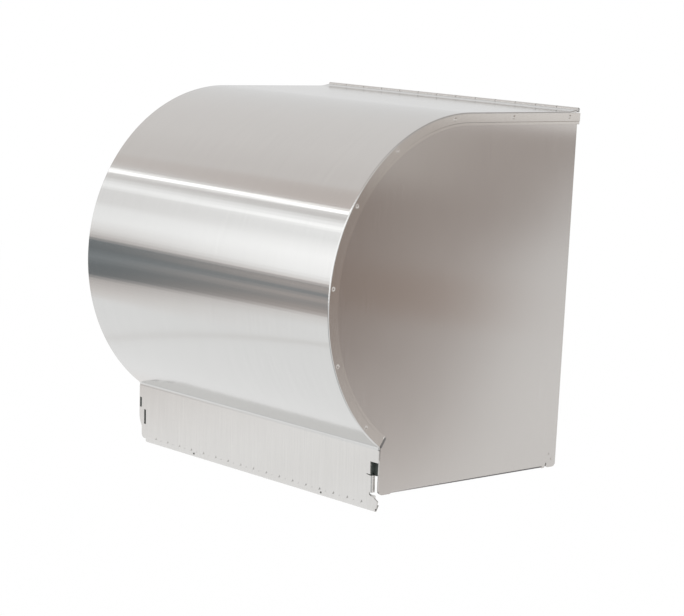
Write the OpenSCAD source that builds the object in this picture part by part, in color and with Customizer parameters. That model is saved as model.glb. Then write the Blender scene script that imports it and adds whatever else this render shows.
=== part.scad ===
// Lever paper towel dispenser in stainless sheet, for a 203 mm wide roll.
// Millimetres. X to the right, Y to the wall, Z up. The origin is the centre of the
// wall screw pattern, on the face that lies against the wall.

/* [Cover] */
// Width of the cover over both side rims
cover_w = 260; // [254:1:300]
// Height of the cover's top above the middle of the wall screws
cover_top = 125; // [115:1:140]
// Radius of the cover's round front, at the outside
arc_r = 122; // [116:1:130]
// Distance from the wall to the centre of the round front
arc_forward = 110.2; // [106:0.2:120]
// Where the round front ends, as an angle from straight up
arc_end = 144.95; // [143:0.05:146]
// Thickness of the cover sheet
cover_t = 1; // [0.8:0.1:1.2]
// Gap left between the wall and what moves near it
wall_gap = 0.5; // [0.3:0.1:1]

/* [Cover rims] */
// Height of the rim's face, seen from the side
rim_face = 7.3; // [6:0.1:9]
// Thickness of the rim strip
rim_t = 1; // [0.8:0.1:1.2]
// Width of the leg that is welded under the cover sheet
rim_leg = 6; // [5:0.5:8]
// Width of the tab that closes the lower end, along the arc
rim_tab = 1.2; // [1:0.1:2]

/* [Cabinet] */
// Step from the rim's face in to the side panel
panel_step = 3; // [2.8:0.1:4]
// Thickness of the side panels
panel_t = 1.2; // [1:0.1:1.5]
// Height from the cover's lower edge down to the side panel's lower edge
panel_skirt = 33.3; // [32:0.1:36]
// Distance from the cover's lower edge back to the side panel's front edge
panel_set = 4.3; // [4:0.1:5]
// Gap from the cover's outer face in to the side panel's round edge
panel_inset = 3.2; // [3:0.1:4]
// Radius of the side panel's lower front corner
panel_corner = 4; // [2:0.5:6]
// Width of the panel's flanges at the back and the bottom
panel_flange = 13; // [8:1:16]
// Distance from the wall to the back end of the bottom flange
flange_back = 45; // [30:1:60]
// Distance from the panel's front edge to the front end of the bottom flange
flange_front = 11.4; // [10:0.2:20]
// Size of the cut in the panel's lower back corner
corner_relief = 2.6; // [2:0.2:4]
// Thickness of the back plate
back_t = 1.2; // [1:0.1:1.5]
// Depth of the back plate's bottom flange
back_flange = 12; // [8:1:16]
// Length of the rubber clips on the panels' edges
clip_len = 12; // [8:1:20]
// Wall of the rubber clips
clip_wall = 1; // [0.8:0.1:1.2]
// Depth of the rubber clips on the panel's inside
clip_in = 5; // [4:0.5:8]
// Depth of the rubber clips on the panel's outside
clip_out = 2.4; // [2:0.1:2.6]

/* [Wall screws] */
// Distance between the screw holes, across
screw_span_x = 180; // [140:5:190]
// Distance between the screw holes, up and down
screw_span_z = 150; // [100:5:180]
// Diameter of the screw holes
screw_hole_d = 6.5; // [4.5:0.5:8]

/* [Cover hinge] */
// Outer radius of the hinge's knuckles
knuckle_r = 1.9; // [1.7:0.1:2.1]
// Radius of the hinge pin
hinge_pin_r = 1.1; // [0.8:0.1:1.2]
// Distance from the wall to the pin
hinge_back = 2.4; // [2.2:0.1:3]
// Height of the pin above the cover's top
hinge_rise = 1.2; // [1.1:0.1:1.6]
// Number of knuckles
knuckle_count = 13; // [9:2:17]
// Gap between two knuckles
knuckle_gap = 0.4; // [0.3:0.1:0.6]
// Thickness of the hinge's two leaves
leaf_t = 1; // [0.8:0.1:1]
// Height and depth of the leaves
leaf_w = 17; // [14:1:20]

/* [Lever] */
// Gap between the cover's lower edge and the lever plate
lever_gap = 0.6; // [0.4:0.1:1]
// How far the lever plate leans back, in degrees
lever_lean = 2.2; // [1:0.1:3]
// Thickness of the lever plate
lever_t = 1; // [0.8:0.1:1.2]
// How far the lever plate stays inside the cover's width at each end
lever_set = 1.2; // [0.5:0.1:2]
// Gap between the plate's side flanges and the side panels
swing_gap = 2.6; // [2.4:0.1:2.9]
// Height from the plate's top edge to the tips of its teeth
lever_h = 43.2; // [42:0.1:44]
// Heights of the pivot notch's top and bottom below the plate's top edge
notch_top = 10.4; // [10:0.1:10.8]
// Lower edge of the notch
notch_low = 17.6; // [17:0.1:18]
// Height of the slit under the notch
slit_h = 0.7; // [0.5:0.1:1]
// Length of the slit
slit_len = 5.4; // [4:0.2:7]
// Height of the side flanges' lower end above the tips of the plate's teeth
flange_up = 12.2; // [11.8:0.1:13]
// Depth of the side flanges
lever_flange = 4; // [3:0.2:4.4]
// Radius of the round relief at the flange's lower end
relief_r = 1.7; // [1.4:0.1:1.8]
// Width of the cut at the plate's lower corners
lip_corner = 3.4; // [2:0.2:5]
// Height of the cut at the plate's lower corners
lip_rise = 4.2; // [2:0.2:6]
// Height of the gap between the side flange and the wide lower lip
lip_gap = 3.4; // [2.8:0.1:4]
// Distance from one deep tooth notch to the next
tooth_pitch = 14.5; // [12:0.5:16]
// Place of the shallow notch after each deep one
tooth_second = 6.1; // [5:0.1:7]
// Depth of the deep notches
tooth_depth = 3; // [2:0.1:3.5]
// Depth of the shallow notches
tooth_second_depth = 1.6; // [1:0.1:2]
// Half the width of a notch at the edge
tooth_half = 1.6; // [1:0.1:2]
// Full travel of the lever, in degrees
lever_travel = 20; // [15:1:22]

/* [Tear blade] */
// Thickness of the tear blade
blade_t = 0.8; // [0.6:0.1:1]
// How far the tear blade stays inside the cover's width at each end
blade_set = 3.5; // [3:0.5:8]
// How far the blade's edge shows below the tips of the plate's teeth
blade_show = 1.2; // [0.8:0.1:1.8]
// Depth of the blade's folded back
blade_fold = 5; // [4:0.5:6]
// Drop of the fold from front to back
blade_slope = 2.4; // [0:0.2:3]
// Distance between the blade's fine teeth
saw_pitch = 2.5; // [2:0.1:4]
// Height of the blade's fine teeth
saw_h = 0.5; // [0.4:0.1:1]
// Distance of the two blade rivets from the middle
rivet_x = 72; // [60:0.5:80]
// Radius of the blade rivets
blade_rivet_r = 1.2; // [1:0.1:1.5]
// Height of the blade rivets above the tips of the plate's teeth
blade_rivet_up = 4.6; // [4:0.1:6]

/* [Lever arms] */
// Distance from the side panel's front edge back to the lever's pivot
pivot_behind = 10; // [9:0.5:11]
// Radius of the lever's shaft
pivot_r = 2; // [1.8:0.1:2.2]
// Wall of the lever's bushes
bush_wall = 0.9; // [0.7:0.1:1.2]
// Radius of the arms' and the sector's round end at the pivot
pivot_boss = 5.6; // [5:0.1:6]
// Thickness of the lever arms
ear_t = 1.5; // [1.2:0.1:1.6]
// Gap between a lever arm and its mechanism plate
arm_gap = 2.3; // [2.1:0.1:2.5]
// Width of the arm's leg behind the lever plate
leg_w = 15; // [10:1:18]
// Gap between the leg and the plate's top edge
leg_top = 3; // [2:0.5:5]
// Half the height of the bars that reach back from the pivot
bar_half = 3; // [2.5:0.1:3.2]
// Length of the left arm's bar, from the pivot to the spring's peg
spring_bar = 22; // [20:0.5:23]
// Slope of the left arm's bar, in degrees
spring_deg = -2; // [-4:0.5:0]
// Length of the right arm's bar behind the sector
sector_bar = 20; // [20:0.5:22]
// Slope of the right arm's bar, in degrees
sector_bar_deg = -14; // [-15:0.5:-13]
// Radius of the rivets in the sector
sector_rivet_r = 1.5; // [1.2:0.1:1.6]
// Distance of the first sector rivet from the pivot
sector_rivet_d = 12.5; // [12:0.5:13]
// Distance between the two sector rivets
sector_rivet_pitch = 6.5; // [6:0.5:7]

/* [Return spring] */
// Radius of the pegs that hold the return spring
post_r = 1.3; // [1:0.1:1.4]
// How far the pegs reach in past the arm
post_reach = 5; // [4:0.5:6]
// Height of the upper peg's head, and how far it stands out round the peg
post_head = 0.8; // [0.5:0.1:0.8]
// Distance between the two pegs
post_drop = 13.2; // [12.8:0.2:14]
// Radius of the return spring's coil, to the middle of its wire
spring_r = 2; // [1.8:0.1:2.1]
// Radius of the wire of the return and pinch springs
wire_r = 0.3; // [0.25:0.05:0.3]
// Distance from the arm in to the middle of the return spring
spring_in = 2.4; // [2.4:0.1:3]

/* [Mechanism plates] */
// Thickness of the mechanism plates
feed_t = 1.5; // [1.2:0.1:1.6]
// Height of the mechanism plates above the drive shaft
plate_up = 13; // [12:0.5:14]
// Distance of the plates' front edge behind the side panels' front edge
plate_set = 1; // [0.5:0.1:2]
// Size of the plates' cut corners
plate_round = 6; // [4:0.5:6]
// Distance from the drive shaft back to the tie rods
rod_back = 29; // [28:0.5:34]
// Height of the upper tie rod above the drive shaft
rod_up = 8; // [6:0.5:9]
// Depth of the lower tie rod below the drive shaft
rod_down = 20; // [19:0.5:21]
// Radius of the tie rods
rod_r = 3; // [2.5:0.1:3]
// Thickness of the tabs bent out of the plates
tab_t = 1.2; // [1:0.1:1.5]
// Half the height of the pinch springs' tabs
tab_half = 4; // [3:0.5:4.5]
// Width of the tab that stops the lever
stop_w = 4; // [3:0.5:4]
// Distance from the spring's peg forward to the stop's middle
stop_set = 5; // [5:0.5:6]
// How far the stop reaches in past the arm
stop_over = 1; // [0.5:0.5:1]
// Thickness of the paper guide
guide_t = 1; // [0.8:0.1:1.2]
// Distance from the drive roller's front back to the guide's front edge
guide_set = 4; // [3:0.5:6]
// How far the guide reaches past the roll's ends
guide_over = 8; // [4:0.5:9]
// Gap between the drive roller and the guide
guide_gap = 1.7; // [1.5:0.1:2.5]

/* [Feed rollers] */
// Outer radius of the rubber sleeves
sleeve_r = 13; // [12:0.5:13.5]
// Length of a rubber sleeve
sleeve_len = 40; // [30:1:44]
// Distance between the middles of the sleeves
sleeve_pitch = 62; // [54:1:66]
// Radius of the drive shaft
shaft_r = 4; // [3:0.1:4.2]
// Height of the drive shaft above the lever's pivot
drive_rise = 13.3; // [12.6:0.1:14]
// Radius of the pinch roller
pinch_r = 6; // [5:0.2:6]
// Radius of the pinch roller's axle
axle_r = 2.5; // [2:0.1:3]
// Half the length of the pinch roller
pinch_half = 103; // [98:1:108]
// Room for the paper between the rollers
paper_room = 0.3; // [0.3:0.05:0.5]
// How far the pinch roller gives way
pinch_travel = 2.5; // [1.5:0.5:3]
// Radius of the flange of the drive shaft's bushes
bush_flange_r = 8; // [7:0.5:8]
// Thickness of that flange
bush_flange_t = 1.4; // [1:0.1:1.5]
// Radius of the bushes' body
bush_body_r = 6; // [5.5:0.1:6.5]
// Thickness of the shaft clips
clip_t = 0.7; // [0.6:0.1:0.8]
// Width of the shaft clips round the shaft
clip_w = 2.2; // [1.8:0.1:2.4]
// Half the size of a pinch block
block_half = 4.5; // [4:0.1:4.5]
// Half the size of the block's neck in its slot
block_neck = 3.6; // [3.2:0.1:3.8]
// Length of a pinch block inside its plate
block_len = 5.2; // [4.5:0.1:5.6]
// Room for a pinch spring between its block and its tab
pinch_spring_len = 7.1; // [7:0.1:7.5]
// Radius of a pinch spring's coil, to the middle of its wire
pinch_coil_r = 1.9; // [1.6:0.1:2]

/* [Gears] */
// Tooth size of the gears
gear_m = 1; // [0.96:0.01:1]
// Teeth of the pinion
pinion_teeth = 14; // [14:1:14]
// Teeth that a full ring of the sector would have
sector_teeth = 77; // [77:1:77]
// Thickness of the sector plate
sector_t = 3; // [2:0.5:3]
// Width of the pinion
pinion_w = 5.4; // [4:0.2:5.6]

/* [Roll holder] */
// Distance from the side panel's inner face in to the roll arm's inner face
arm_side = 21.2; // [20.5:0.1:24]
// Radius of the hubs that carry the roll's core
hub_r = 18; // [16:0.5:19]
// Length of a hub inside the core
hub_len = 12; // [10:0.5:15]
// Length of the cone at a hub's inner end
hub_lead = 3; // [2:0.5:4]
// Radius of a hub's collar
collar_r = 26; // [22:1:30]
// Thickness of a hub's collar
collar_t = 2; // [1.5:0.1:2.5]
// Gap between the collar and the end of the roll
collar_gap = 0.7; // [0.5:0.1:1]
// Distance of the roll's axis behind the centre of the round front
roll_back = 2.2; // [1:0.1:4]
// Height of the roll's axis above the centre of the round front
roll_lift = 15; // [14:0.5:16]
// Thickness of the roll arms
arm_t = 1.5; // [1.2:0.1:2]
// Height of the roll arms
arm_h = 22; // [16:1:28]
// Distance from the wall to the right arm's pin
arm_pivot_back = 8; // [7:0.5:9]
// Radius of the right arm's pin
arm_pin_r = 1.6; // [1.4:0.1:1.8]
// Radius of the knuckle round that pin
arm_knuckle_r = 3.2; // [3:0.1:3.4]
// Thickness of the bracket's two ears
bracket_ear = 2; // [1.5:0.1:2.5]
// Width of the arms' feet on the back plate
foot_w = 8; // [7:0.5:9]
// Radius of the rivets in the arms' feet
foot_hole_r = 1.5; // [1.3:0.1:1.7]
// Radius of the heads of the hub pins
hub_pin_r = 4; // [3.5:0.1:4.5]
// Distance from the wall to the spring that presses the right arm
arm_spring_back = 44; // [40:1:60]
// Radius of that spring's coil, to the middle of its wire
arm_coil_r = 4.6; // [4.4:0.1:5]
// Radius of that spring's wire
arm_wire_r = 0.45; // [0.4:0.05:0.5]
// Radius of the pegs that keep that spring in place
arm_seat_r = 3.4; // [3:0.1:3.8]
// Height of those pegs
arm_seat_h = 1.5; // [1:0.1:2]
// Radius of the cup on the side panel
seat_r = 6.5; // [6:0.1:8]
// Thickness of the cup on the side panel
seat_t = 1.2; // [1:0.1:1.5]

/* [Hidden] */
$fn = 64;

// Small clearances and one overrun for cuts
fit = 0.02;
run_fit = 0.05;
seat_gap = 0.3;
near_gap = 0.1;
stop_gap = 0.15;
over = 1;

half_w = cover_w / 2;
panel_out = half_w - panel_step;
panel_in = panel_out - panel_t;
arc_y = -arc_forward;
arc_z = cover_top - arc_r;
lever_half = half_w - lever_set;
lever_inner_half = panel_in - swing_gap;
blade_half = half_w - blade_set;
flange_low = lever_h - flange_up;
blade_low = lever_h + blade_show;
crease_y = arc_y - arc_r * sin(arc_end);
crease_z = arc_z + arc_r * cos(arc_end);
panel_low = crease_z - panel_skirt;
panel_y = crease_y + panel_set;
panel_arc_r = arc_r - panel_inset;
rim_gap = 0.4;

// Hinge line
hinge_y = -hinge_back;
hinge_z = cover_top + hinge_rise;
hinge_half = half_w - 1;
leaf_half = half_w - rim_leg - seat_gap;
knuckle_pitch = 2 * hinge_half / knuckle_count;
knuckle_room = 0.4;

// Pivot of the lever, level with the notch
pivot_y = panel_y + pivot_behind;
pivot_z = crease_z - lever_gap - (notch_top + notch_low) / 2;
bush_r = pivot_r + bush_wall;

// Mechanism plates against the side panels, and what lies between them
feed_in = panel_in - feed_t;
ear_out = feed_in - arm_gap;
ear_in = ear_out - ear_t;
sector_in = ear_in - sector_t;

// Drive shaft at the gears' centre distance from the pivot
pinion_pr = gear_m * pinion_teeth / 2;
sector_pr = gear_m * sector_teeth / 2;
gear_dist = sector_pr - pinion_pr;
drive_deg = asin(drive_rise / gear_dist);
drive_y = pivot_y + gear_dist * cos(drive_deg);
drive_z = pivot_z + drive_rise;
pinch_y = drive_y - sleeve_r - paper_room - pinch_r;
pinch_z = drive_z;

// Tooth form
press_deg = 25;
back_lash = 0.15;
pinion_add = 0.8;
pinion_ded = 1.25;
sector_add = 0.6;
sector_ded = 1.05;
flank_steps = 4;

// Roll holder: the length of the roll follows from the place of the arms
roll_y = arc_y + roll_back;
roll_z = arc_z + roll_lift;
arm_in = panel_in - arm_side;
arm_out = arm_in + arm_t;
arm_pivot_x = arm_out - arm_t / 2;
arm_pivot_y = -arm_pivot_back;
arm_spring_y = -arm_spring_back;
roll_half = arm_in - seat_gap - collar_t - collar_gap;

// Riveted heads, as shares of the shank's radius
head_share = 1.8;
pin_head_share = 1.5;
rivet_h = 1;

// Angle about +X from straight up to the front: local x is up, local y is forward
module about_x() { rotate([180, -90, 0]) children(); }

// Right-hand pieces are drawn, left-hand ones are their mirror image
module on_side(side) {
  if (side > 0) children();
  else mirror([1, 0, 0]) children();
}
module both_sides() { on_side(1) children(); on_side(-1) children(); }

// A box from its low corner to its high corner
module span(a, b) { translate(a) cube(b - a); }

// A rod along X from x0 to x1, with its axis at y, z
module rod(r, x0, x1, y, z) { translate([x0, y, z]) rotate([0, 90, 0]) cylinder(r = r, h = x1 - x0); }

// A flat plate from x0 to x1 whose outline is drawn as y, z
module plate_yz(x0, x1) { translate([x0, 0, 0]) rotate([90, 0, 90]) linear_extrude(x1 - x0) children(); }

// What follows the cover's outline: its profile is drawn as radius and x
module along_cover(from = 0, to = arc_end, flat = true) {
  translate([0, arc_y, arc_z]) about_x() {
    rotate([0, 0, from]) rotate_extrude(angle = to - from, $fn = 128) children();
    if (flat) rotate([90, 0, 0]) linear_extrude(arc_forward - wall_gap) children();
  }
}

// The lever's own frame: the top edge of its front face, leaning back
module lever_frame() {
  translate([0, crease_y, crease_z - lever_gap]) rotate([lever_lean, 0, 0]) children();
}

// Cabinet

module back_plate() color("gainsboro") difference() {
  union() {
    span([-panel_out, -back_t, panel_low], [panel_out, 0, cover_top - panel_inset]);
    span([-panel_in + panel_flange, -back_flange, panel_low],
      [panel_in - panel_flange, 0, panel_low + back_t]);
  }
  for (sx = [-1, 1], sz = [-1, 1])
    translate([sx * screw_span_x / 2, over, sz * screw_span_z / 2])
      rotate([90, 0, 0]) cylinder(d = screw_hole_d, h = back_t + 2 * over);
}

module panel_outline() {
  difference() {
    union() {
      intersection() {
        translate([arc_y, arc_z]) circle(r = panel_arc_r, $fn = 128);
        translate([arc_y - panel_arc_r, panel_low]) square([panel_arc_r, cover_top - panel_low]);
      }
      translate([arc_y, panel_low]) square([arc_forward - back_t, arc_z + panel_arc_r - panel_low]);
      translate([panel_y, panel_low]) square([arc_y - panel_y, arc_z - panel_low]);
    }
    // Rounded lower corner at the front
    translate([panel_y, panel_low]) difference() {
      translate([-over, -over]) square(panel_corner + over);
      translate([panel_corner, panel_corner]) circle(r = panel_corner);
    }
    // Relief at the lower back corner, where two flanges meet
    translate([-back_t, panel_low]) rotate(45) square(corner_relief, center = true);
  }
}

module side_panel(side) on_side(side) color("silver") {
  plate_yz(panel_in, panel_out) panel_outline();
  // Back flange, welded to the back plate
  span([panel_out - panel_flange, -back_t - panel_t, panel_low + back_flange],
    [panel_in, -back_t, cover_top - leaf_w - panel_inset]);
  // Bottom flange
  span([panel_out - panel_flange, panel_y + flange_front, panel_low],
    [panel_in, -flange_back, panel_low + panel_t]);
}

// Cover hinge

module knuckles(first) {
  for (i = [first : 2 : knuckle_count - 1])
    rod(knuckle_r, -hinge_half + i * knuckle_pitch + knuckle_gap / 2,
      -hinge_half + (i + 1) * knuckle_pitch - knuckle_gap / 2, hinge_y, hinge_z);
}

module hinge_bore() { rod(hinge_pin_r + run_fit, -half_w, half_w, hinge_y, hinge_z); }

module hinge_leaf_wall() color("darkgray") difference() {
  leaf_y = -back_t - leaf_t;
  union() {
    knuckles(0);
    span([-leaf_half, leaf_y, cover_top - leaf_w],
      [leaf_half, -back_t, hinge_z - knuckle_r - knuckle_room]);
    for (i = [0 : 2 : knuckle_count - 1])
      span([max(-leaf_half, -hinge_half + i * knuckle_pitch + knuckle_gap / 2), leaf_y,
          hinge_z - knuckle_r - knuckle_room],
        [min(leaf_half, -hinge_half + (i + 1) * knuckle_pitch - knuckle_gap / 2), -back_t, hinge_z]);
  }
  hinge_bore();
}

module hinge_leaf_cover() color("gray") difference() {
  front = hinge_y - knuckle_r - knuckle_room;
  low = cover_top - cover_t - leaf_t;
  union() {
    knuckles(1);
    span([-leaf_half, -leaf_w, low], [leaf_half, front, low + leaf_t]);
    for (i = [1 : 2 : knuckle_count - 1])
      span([-hinge_half + i * knuckle_pitch + knuckle_gap / 2, front, low],
        [-hinge_half + (i + 1) * knuckle_pitch - knuckle_gap / 2, hinge_y - knuckle_r / 3, hinge_z]);
  }
  hinge_bore();
}

module hinge_pin() color("dimgray") rod(hinge_pin_r, -hinge_half, hinge_half, hinge_y, hinge_z);

// Cover

module cover_sheet() color("gainsboro") difference() {
  along_cover() translate([arc_r - cover_t, -half_w]) square([cover_t, cover_w]);
  // The sheet stops in front of the hinge
  span([-half_w - over, hinge_y - knuckle_r - knuckle_room, cover_top - cover_t - over],
    [half_w + over, over, cover_top + over]);
}

module rim_profile() {
  r1 = arc_r - cover_t;
  r0 = arc_r - rim_face;
  translate([r1 - rim_t, half_w - rim_leg]) square([rim_t, rim_leg]);
  translate([r0, half_w - rim_t]) square([r1 - r0, rim_t]);
  translate([r0, panel_out + rim_gap]) square([rim_t, panel_step - rim_gap]);
}

module cover_rim(side) on_side(side) color("silver") {
  tab_deg = rim_tab / arc_r * 180 / PI;
  along_cover() rim_profile();
  along_cover(arc_end - tab_deg, arc_end, false)
    translate([arc_r - rim_face, panel_out + rim_gap])
      square([rim_face - cover_t, panel_step - rim_gap]);
}

// Rubber clips on the panels' round edges, on which the closed cover rests
clip_at = [50, 120];
module cover_bumpers() color("black") {
  clip_top = arc_r - cover_t - rim_t - seat_gap;
  clip_deg = clip_len / arc_r * 180 / PI;
  both_sides() for (deg = clip_at)
    along_cover(deg, deg + clip_deg, false) difference() {
      union() {
        translate([panel_arc_r - clip_in, panel_in - clip_wall])
          square([clip_top - panel_arc_r + clip_in, panel_t + clip_wall]);
        translate([panel_arc_r - clip_out, panel_in])
          square([clip_top - panel_arc_r + clip_out, panel_t + clip_wall]);
      }
      translate([panel_arc_r - clip_in - over, panel_in - fit])
        square([clip_in + over + fit, panel_t + 2 * fit]);
    }
}

// Lever

// The notches along one half of the plate's lower edge, from the middle outwards
notch_count = floor((lever_inner_half - tooth_half - tooth_second) / tooth_pitch);
half_edge = [
  [0, tooth_depth - lever_h], [tooth_half, -lever_h],
  for (k = [0 : notch_count - 1]) each [
    [k * tooth_pitch + tooth_second - tooth_half, -lever_h],
    [k * tooth_pitch + tooth_second, tooth_second_depth - lever_h],
    [k * tooth_pitch + tooth_second + tooth_half, -lever_h],
    [(k + 1) * tooth_pitch - tooth_half, -lever_h],
    [(k + 1) * tooth_pitch, tooth_depth - lever_h],
    [(k + 1) * tooth_pitch + tooth_half, -lever_h]
  ]
];
// The rest of one half, up its side to the top edge
half_side = [
  [lever_half - lip_corner, -lever_h], [lever_half, lip_rise - lever_h],
  [lever_half, -flange_low - lip_gap], [lever_inner_half, -flange_low - lip_gap],
  [lever_inner_half, -notch_low - slit_h], [lever_inner_half - slit_len, -notch_low - slit_h],
  [lever_inner_half - slit_len, -notch_low], [lever_inner_half, -notch_low],
  [lever_inner_half, -notch_top], [lever_half, -notch_top],
  [lever_half, -lever_t], [lever_half - lever_t, 0]
];
half_plate = concat(half_edge, half_side);

module lever_plate() color("gainsboro") lever_frame() {
  difference() {
    translate([0, lever_t, 0]) rotate([90, 0, 0]) linear_extrude(lever_t)
      polygon(concat(half_plate,
        [for (i = [len(half_plate) - 1 : -1 : 1]) [-half_plate[i].x, half_plate[i].y]]));
    both_sides() translate([lever_inner_half, -over, -flange_low - relief_r])
      rotate([-90, 0, 0]) cylinder(r = relief_r, h = lever_t + 2 * over);
  }
  both_sides() span([lever_inner_half - lever_t, lever_t, -flange_low],
    [lever_inner_half, lever_flange, -notch_low - slit_h]);
}

saw_count = floor(2 * (blade_half - saw_pitch) / saw_pitch);

module tear_blade() color("lightgray") lever_frame() {
  fold_top = flange_low + lip_gap + blade_t;
  back = lever_t + blade_fold;
  difference() {
    translate([0, lever_t + blade_t, 0]) rotate([90, 0, 0]) linear_extrude(blade_t)
      polygon(concat(
        [[blade_half, -fold_top], [-blade_half, -fold_top], [-blade_half, saw_h - blade_low]],
        [for (i = [0 : 2 * saw_count]) [(i / 2 - saw_count / 2) * saw_pitch,
          i % 2 == 0 ? saw_h - blade_low : -blade_low]],
        [[blade_half, saw_h - blade_low]]));
    blade_holes();
  }
  // Fold at the top: a sloping web and a short leg behind
  plate_yz(-blade_half, blade_half) polygon([
    [lever_t, blade_t - fold_top], [back, blade_t - fold_top - blade_slope],
    [back, -fold_top - blade_fold], [back - blade_t, -fold_top - blade_fold],
    [back - blade_t, -fold_top - blade_slope], [lever_t + blade_t, -fold_top], [lever_t, -fold_top]]);
}

module blade_holes() {
  both_sides() translate([rivet_x, 0, blade_rivet_up - lever_h]) rotate([-90, 0, 0])
    cylinder(r = blade_rivet_r + fit, h = blade_fold);
}

// Rivets that hold the blade to the plate: their shanks end in the plate's back face
module blade_rivets() color("darkgray") lever_frame() both_sides()
  translate([rivet_x, lever_t, blade_rivet_up - lever_h]) rotate([-90, 0, 0]) {
    cylinder(r = blade_rivet_r, h = blade_t);
    translate([0, 0, blade_t]) cylinder(r1 = 2 * blade_rivet_r, r2 = blade_rivet_r, h = blade_rivet_r);
  }

// One arm: a leg behind the plate, an ear through the notch and a bar to the back
module lever_arm(bar_deg, bar_len, bar_half) {
  ear_half = (notch_low - notch_top) / 2 + near_gap;
  leg_back = lever_t + ear_t;
  lever_frame() span([ear_out - leg_w, lever_t, -flange_low], [ear_out, leg_back, -leg_top]);
  difference() {
    union() {
      plate_yz(ear_in, ear_out) polygon([
        [crease_y + leg_back, pivot_z - ear_half], [crease_y + leg_back, pivot_z + ear_half],
        [pivot_y, pivot_z + ear_half], [pivot_y, pivot_z - ear_half]]);
      rod(pivot_boss, ear_in, ear_out, pivot_y, pivot_z);
      translate([0, pivot_y, pivot_z]) rotate([bar_deg, 0, 0])
        span([ear_in, 0, -bar_half], [ear_out, bar_len, bar_half]);
      translate([0, pivot_y, pivot_z]) rotate([bar_deg, 0, 0]) rod(bar_half, ear_in, ear_out, bar_len, 0);
    }
    rod(bush_r + fit, ear_in - over, ear_out + over, pivot_y, pivot_z);
    children();
  }
}

module at_sector_rivets() {
  for (d = [sector_rivet_d, sector_rivet_d + sector_rivet_pitch])
    translate([0, pivot_y + d * cos(sector_bar_deg), pivot_z + d * sin(sector_bar_deg)]) children();
}

module lever_arm_left() color("dimgray") mirror([1, 0, 0]) lever_arm(spring_deg, spring_bar, bar_half)
  rod(post_r + fit, ear_in - over, ear_out + over, post_y, post_z);

module lever_arm_right() color("dimgray") lever_arm(sector_bar_deg, sector_bar, bar_half)
  at_sector_rivets() rod(sector_rivet_r + fit, ear_in - over, ear_out + over, 0, 0);

// Nylon bushes that turn on the lever shaft
module lever_bushes() color("black") {
  flange_r = (notch_low - notch_top) / 2 + near_gap;
  for (side = [-1, 1]) on_side(side) difference() {
    union() {
      rod(bush_r, side > 0 ? sector_in : ear_in, ear_out, pivot_y, pivot_z);
      rod(flange_r, ear_out + near_gap / 2, feed_in - near_gap, pivot_y, pivot_z);
      rod(bush_r, ear_in, ear_out + near_gap, pivot_y, pivot_z);
    }
    rod(pivot_r + run_fit, sector_in - over, feed_in + over, pivot_y, pivot_z);
  }
}

module lever_shaft() color("silver")
  rod(pivot_r, -panel_in + near_gap, panel_in - near_gap, pivot_y, pivot_z);

// Return spring: one tube, with a hook at each end

post_in = ear_in - post_reach;
post_y = pivot_y + spring_bar * cos(spring_deg);
post_z = pivot_z + spring_bar * sin(spring_deg);
post_low_z = post_z - post_drop;
spring_x = spring_in - ear_in;
spring_turns = 7;
ring_steps = 8;
hook_step = 30;
hook_end = 60;
hook_r = post_r + wire_r + near_gap;

function unit(v) = v / norm(v);

// Rings round a path, each turned as little as it can be from the one before
function tangents(p) = [for (i = [0 : len(p) - 1]) unit(p[min(i + 1, len(p) - 1)] - p[max(i - 1, 0)])];
function carried(t, first) = [for (i = 0, n = unit(first - (first * t[0]) * t[0]); i < len(t);
  i = i + 1, n = i < len(t) ? unit(n - (n * t[i]) * t[i]) : n) n];

module wire(p, r, first, sides = 6) {
  t = tangents(p);
  n = carried(t, first);
  pts = [for (i = [0 : len(p) - 1], s = [0 : sides - 1])
    p[i] + r * (cos(360 * s / sides) * n[i] + sin(360 * s / sides) * cross(t[i], n[i]))];
  faces = concat(
    [for (i = [0 : len(p) - 2], s = [0 : sides - 1]) each [
      [i * sides + s, (i + 1) * sides + (s + 1) % sides, (i + 1) * sides + s],
      [i * sides + s, i * sides + (s + 1) % sides, (i + 1) * sides + (s + 1) % sides]]],
    [for (s = [1 : sides - 2]) [0, s + 1, s]],
    [for (s = [1 : sides - 2]) let (e = (len(p) - 1) * sides) [e, e + s, e + s + 1]]);
  polyhedron(pts, [for (f = faces) [f[0], f[2], f[1]]]);
}

// The least gap between stretches of one coil that lie at least half a turn apart
function least_gap(p, r) = min([for (i = [0 : len(p) - 1], j = [i + ring_steps / 2 + 1 : len(p) - 1])
  norm(p[i] - p[j])]) - 2 * r;

hook_drop = hook_r + spring_r / 2;
coil_top = post_z - hook_drop;
coil_low = post_low_z + hook_drop;
lever_spring_path = concat(
  [for (a = [-hook_end : hook_step : 180]) [spring_x, post_y + hook_r * cos(a), post_z + hook_r * sin(a)]],
  [for (i = [0 : spring_turns * ring_steps]) let (a = 180 + 360 * i / ring_steps)
    [spring_x + spring_r * sin(a), post_y + spring_r * cos(a),
      coil_top - i / ring_steps * (coil_top - coil_low) / spring_turns]],
  [for (a = [180 : hook_step : 360 + hook_end])
    [spring_x, post_y + hook_r * cos(a), post_low_z + hook_r * sin(a)]]
);

module lever_spring() color("silver") wire(lever_spring_path, wire_r, [1, 0, 0]);
echo(lever_spring_least_gap = least_gap(lever_spring_path, wire_r));

// Pegs for the spring: one rides on the arm, one is fixed in the mechanism plate
module spring_peg_arm() color("silver") {
  rod(post_r, -ear_out, -post_in, post_y, post_z);
  rod(post_r + post_head, -ear_out - post_head, -ear_out, post_y, post_z);
}
module spring_peg_plate() color("silver")
  rod(post_r, -panel_in + near_gap, -post_in, post_y, post_low_z);

// Gears

function inv_deg(a) = tan(a) * 180 / PI - a;
function flank(r, base, half) = half + inv_deg(press_deg) - inv_deg(acos(min(1, base / r)));

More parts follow.
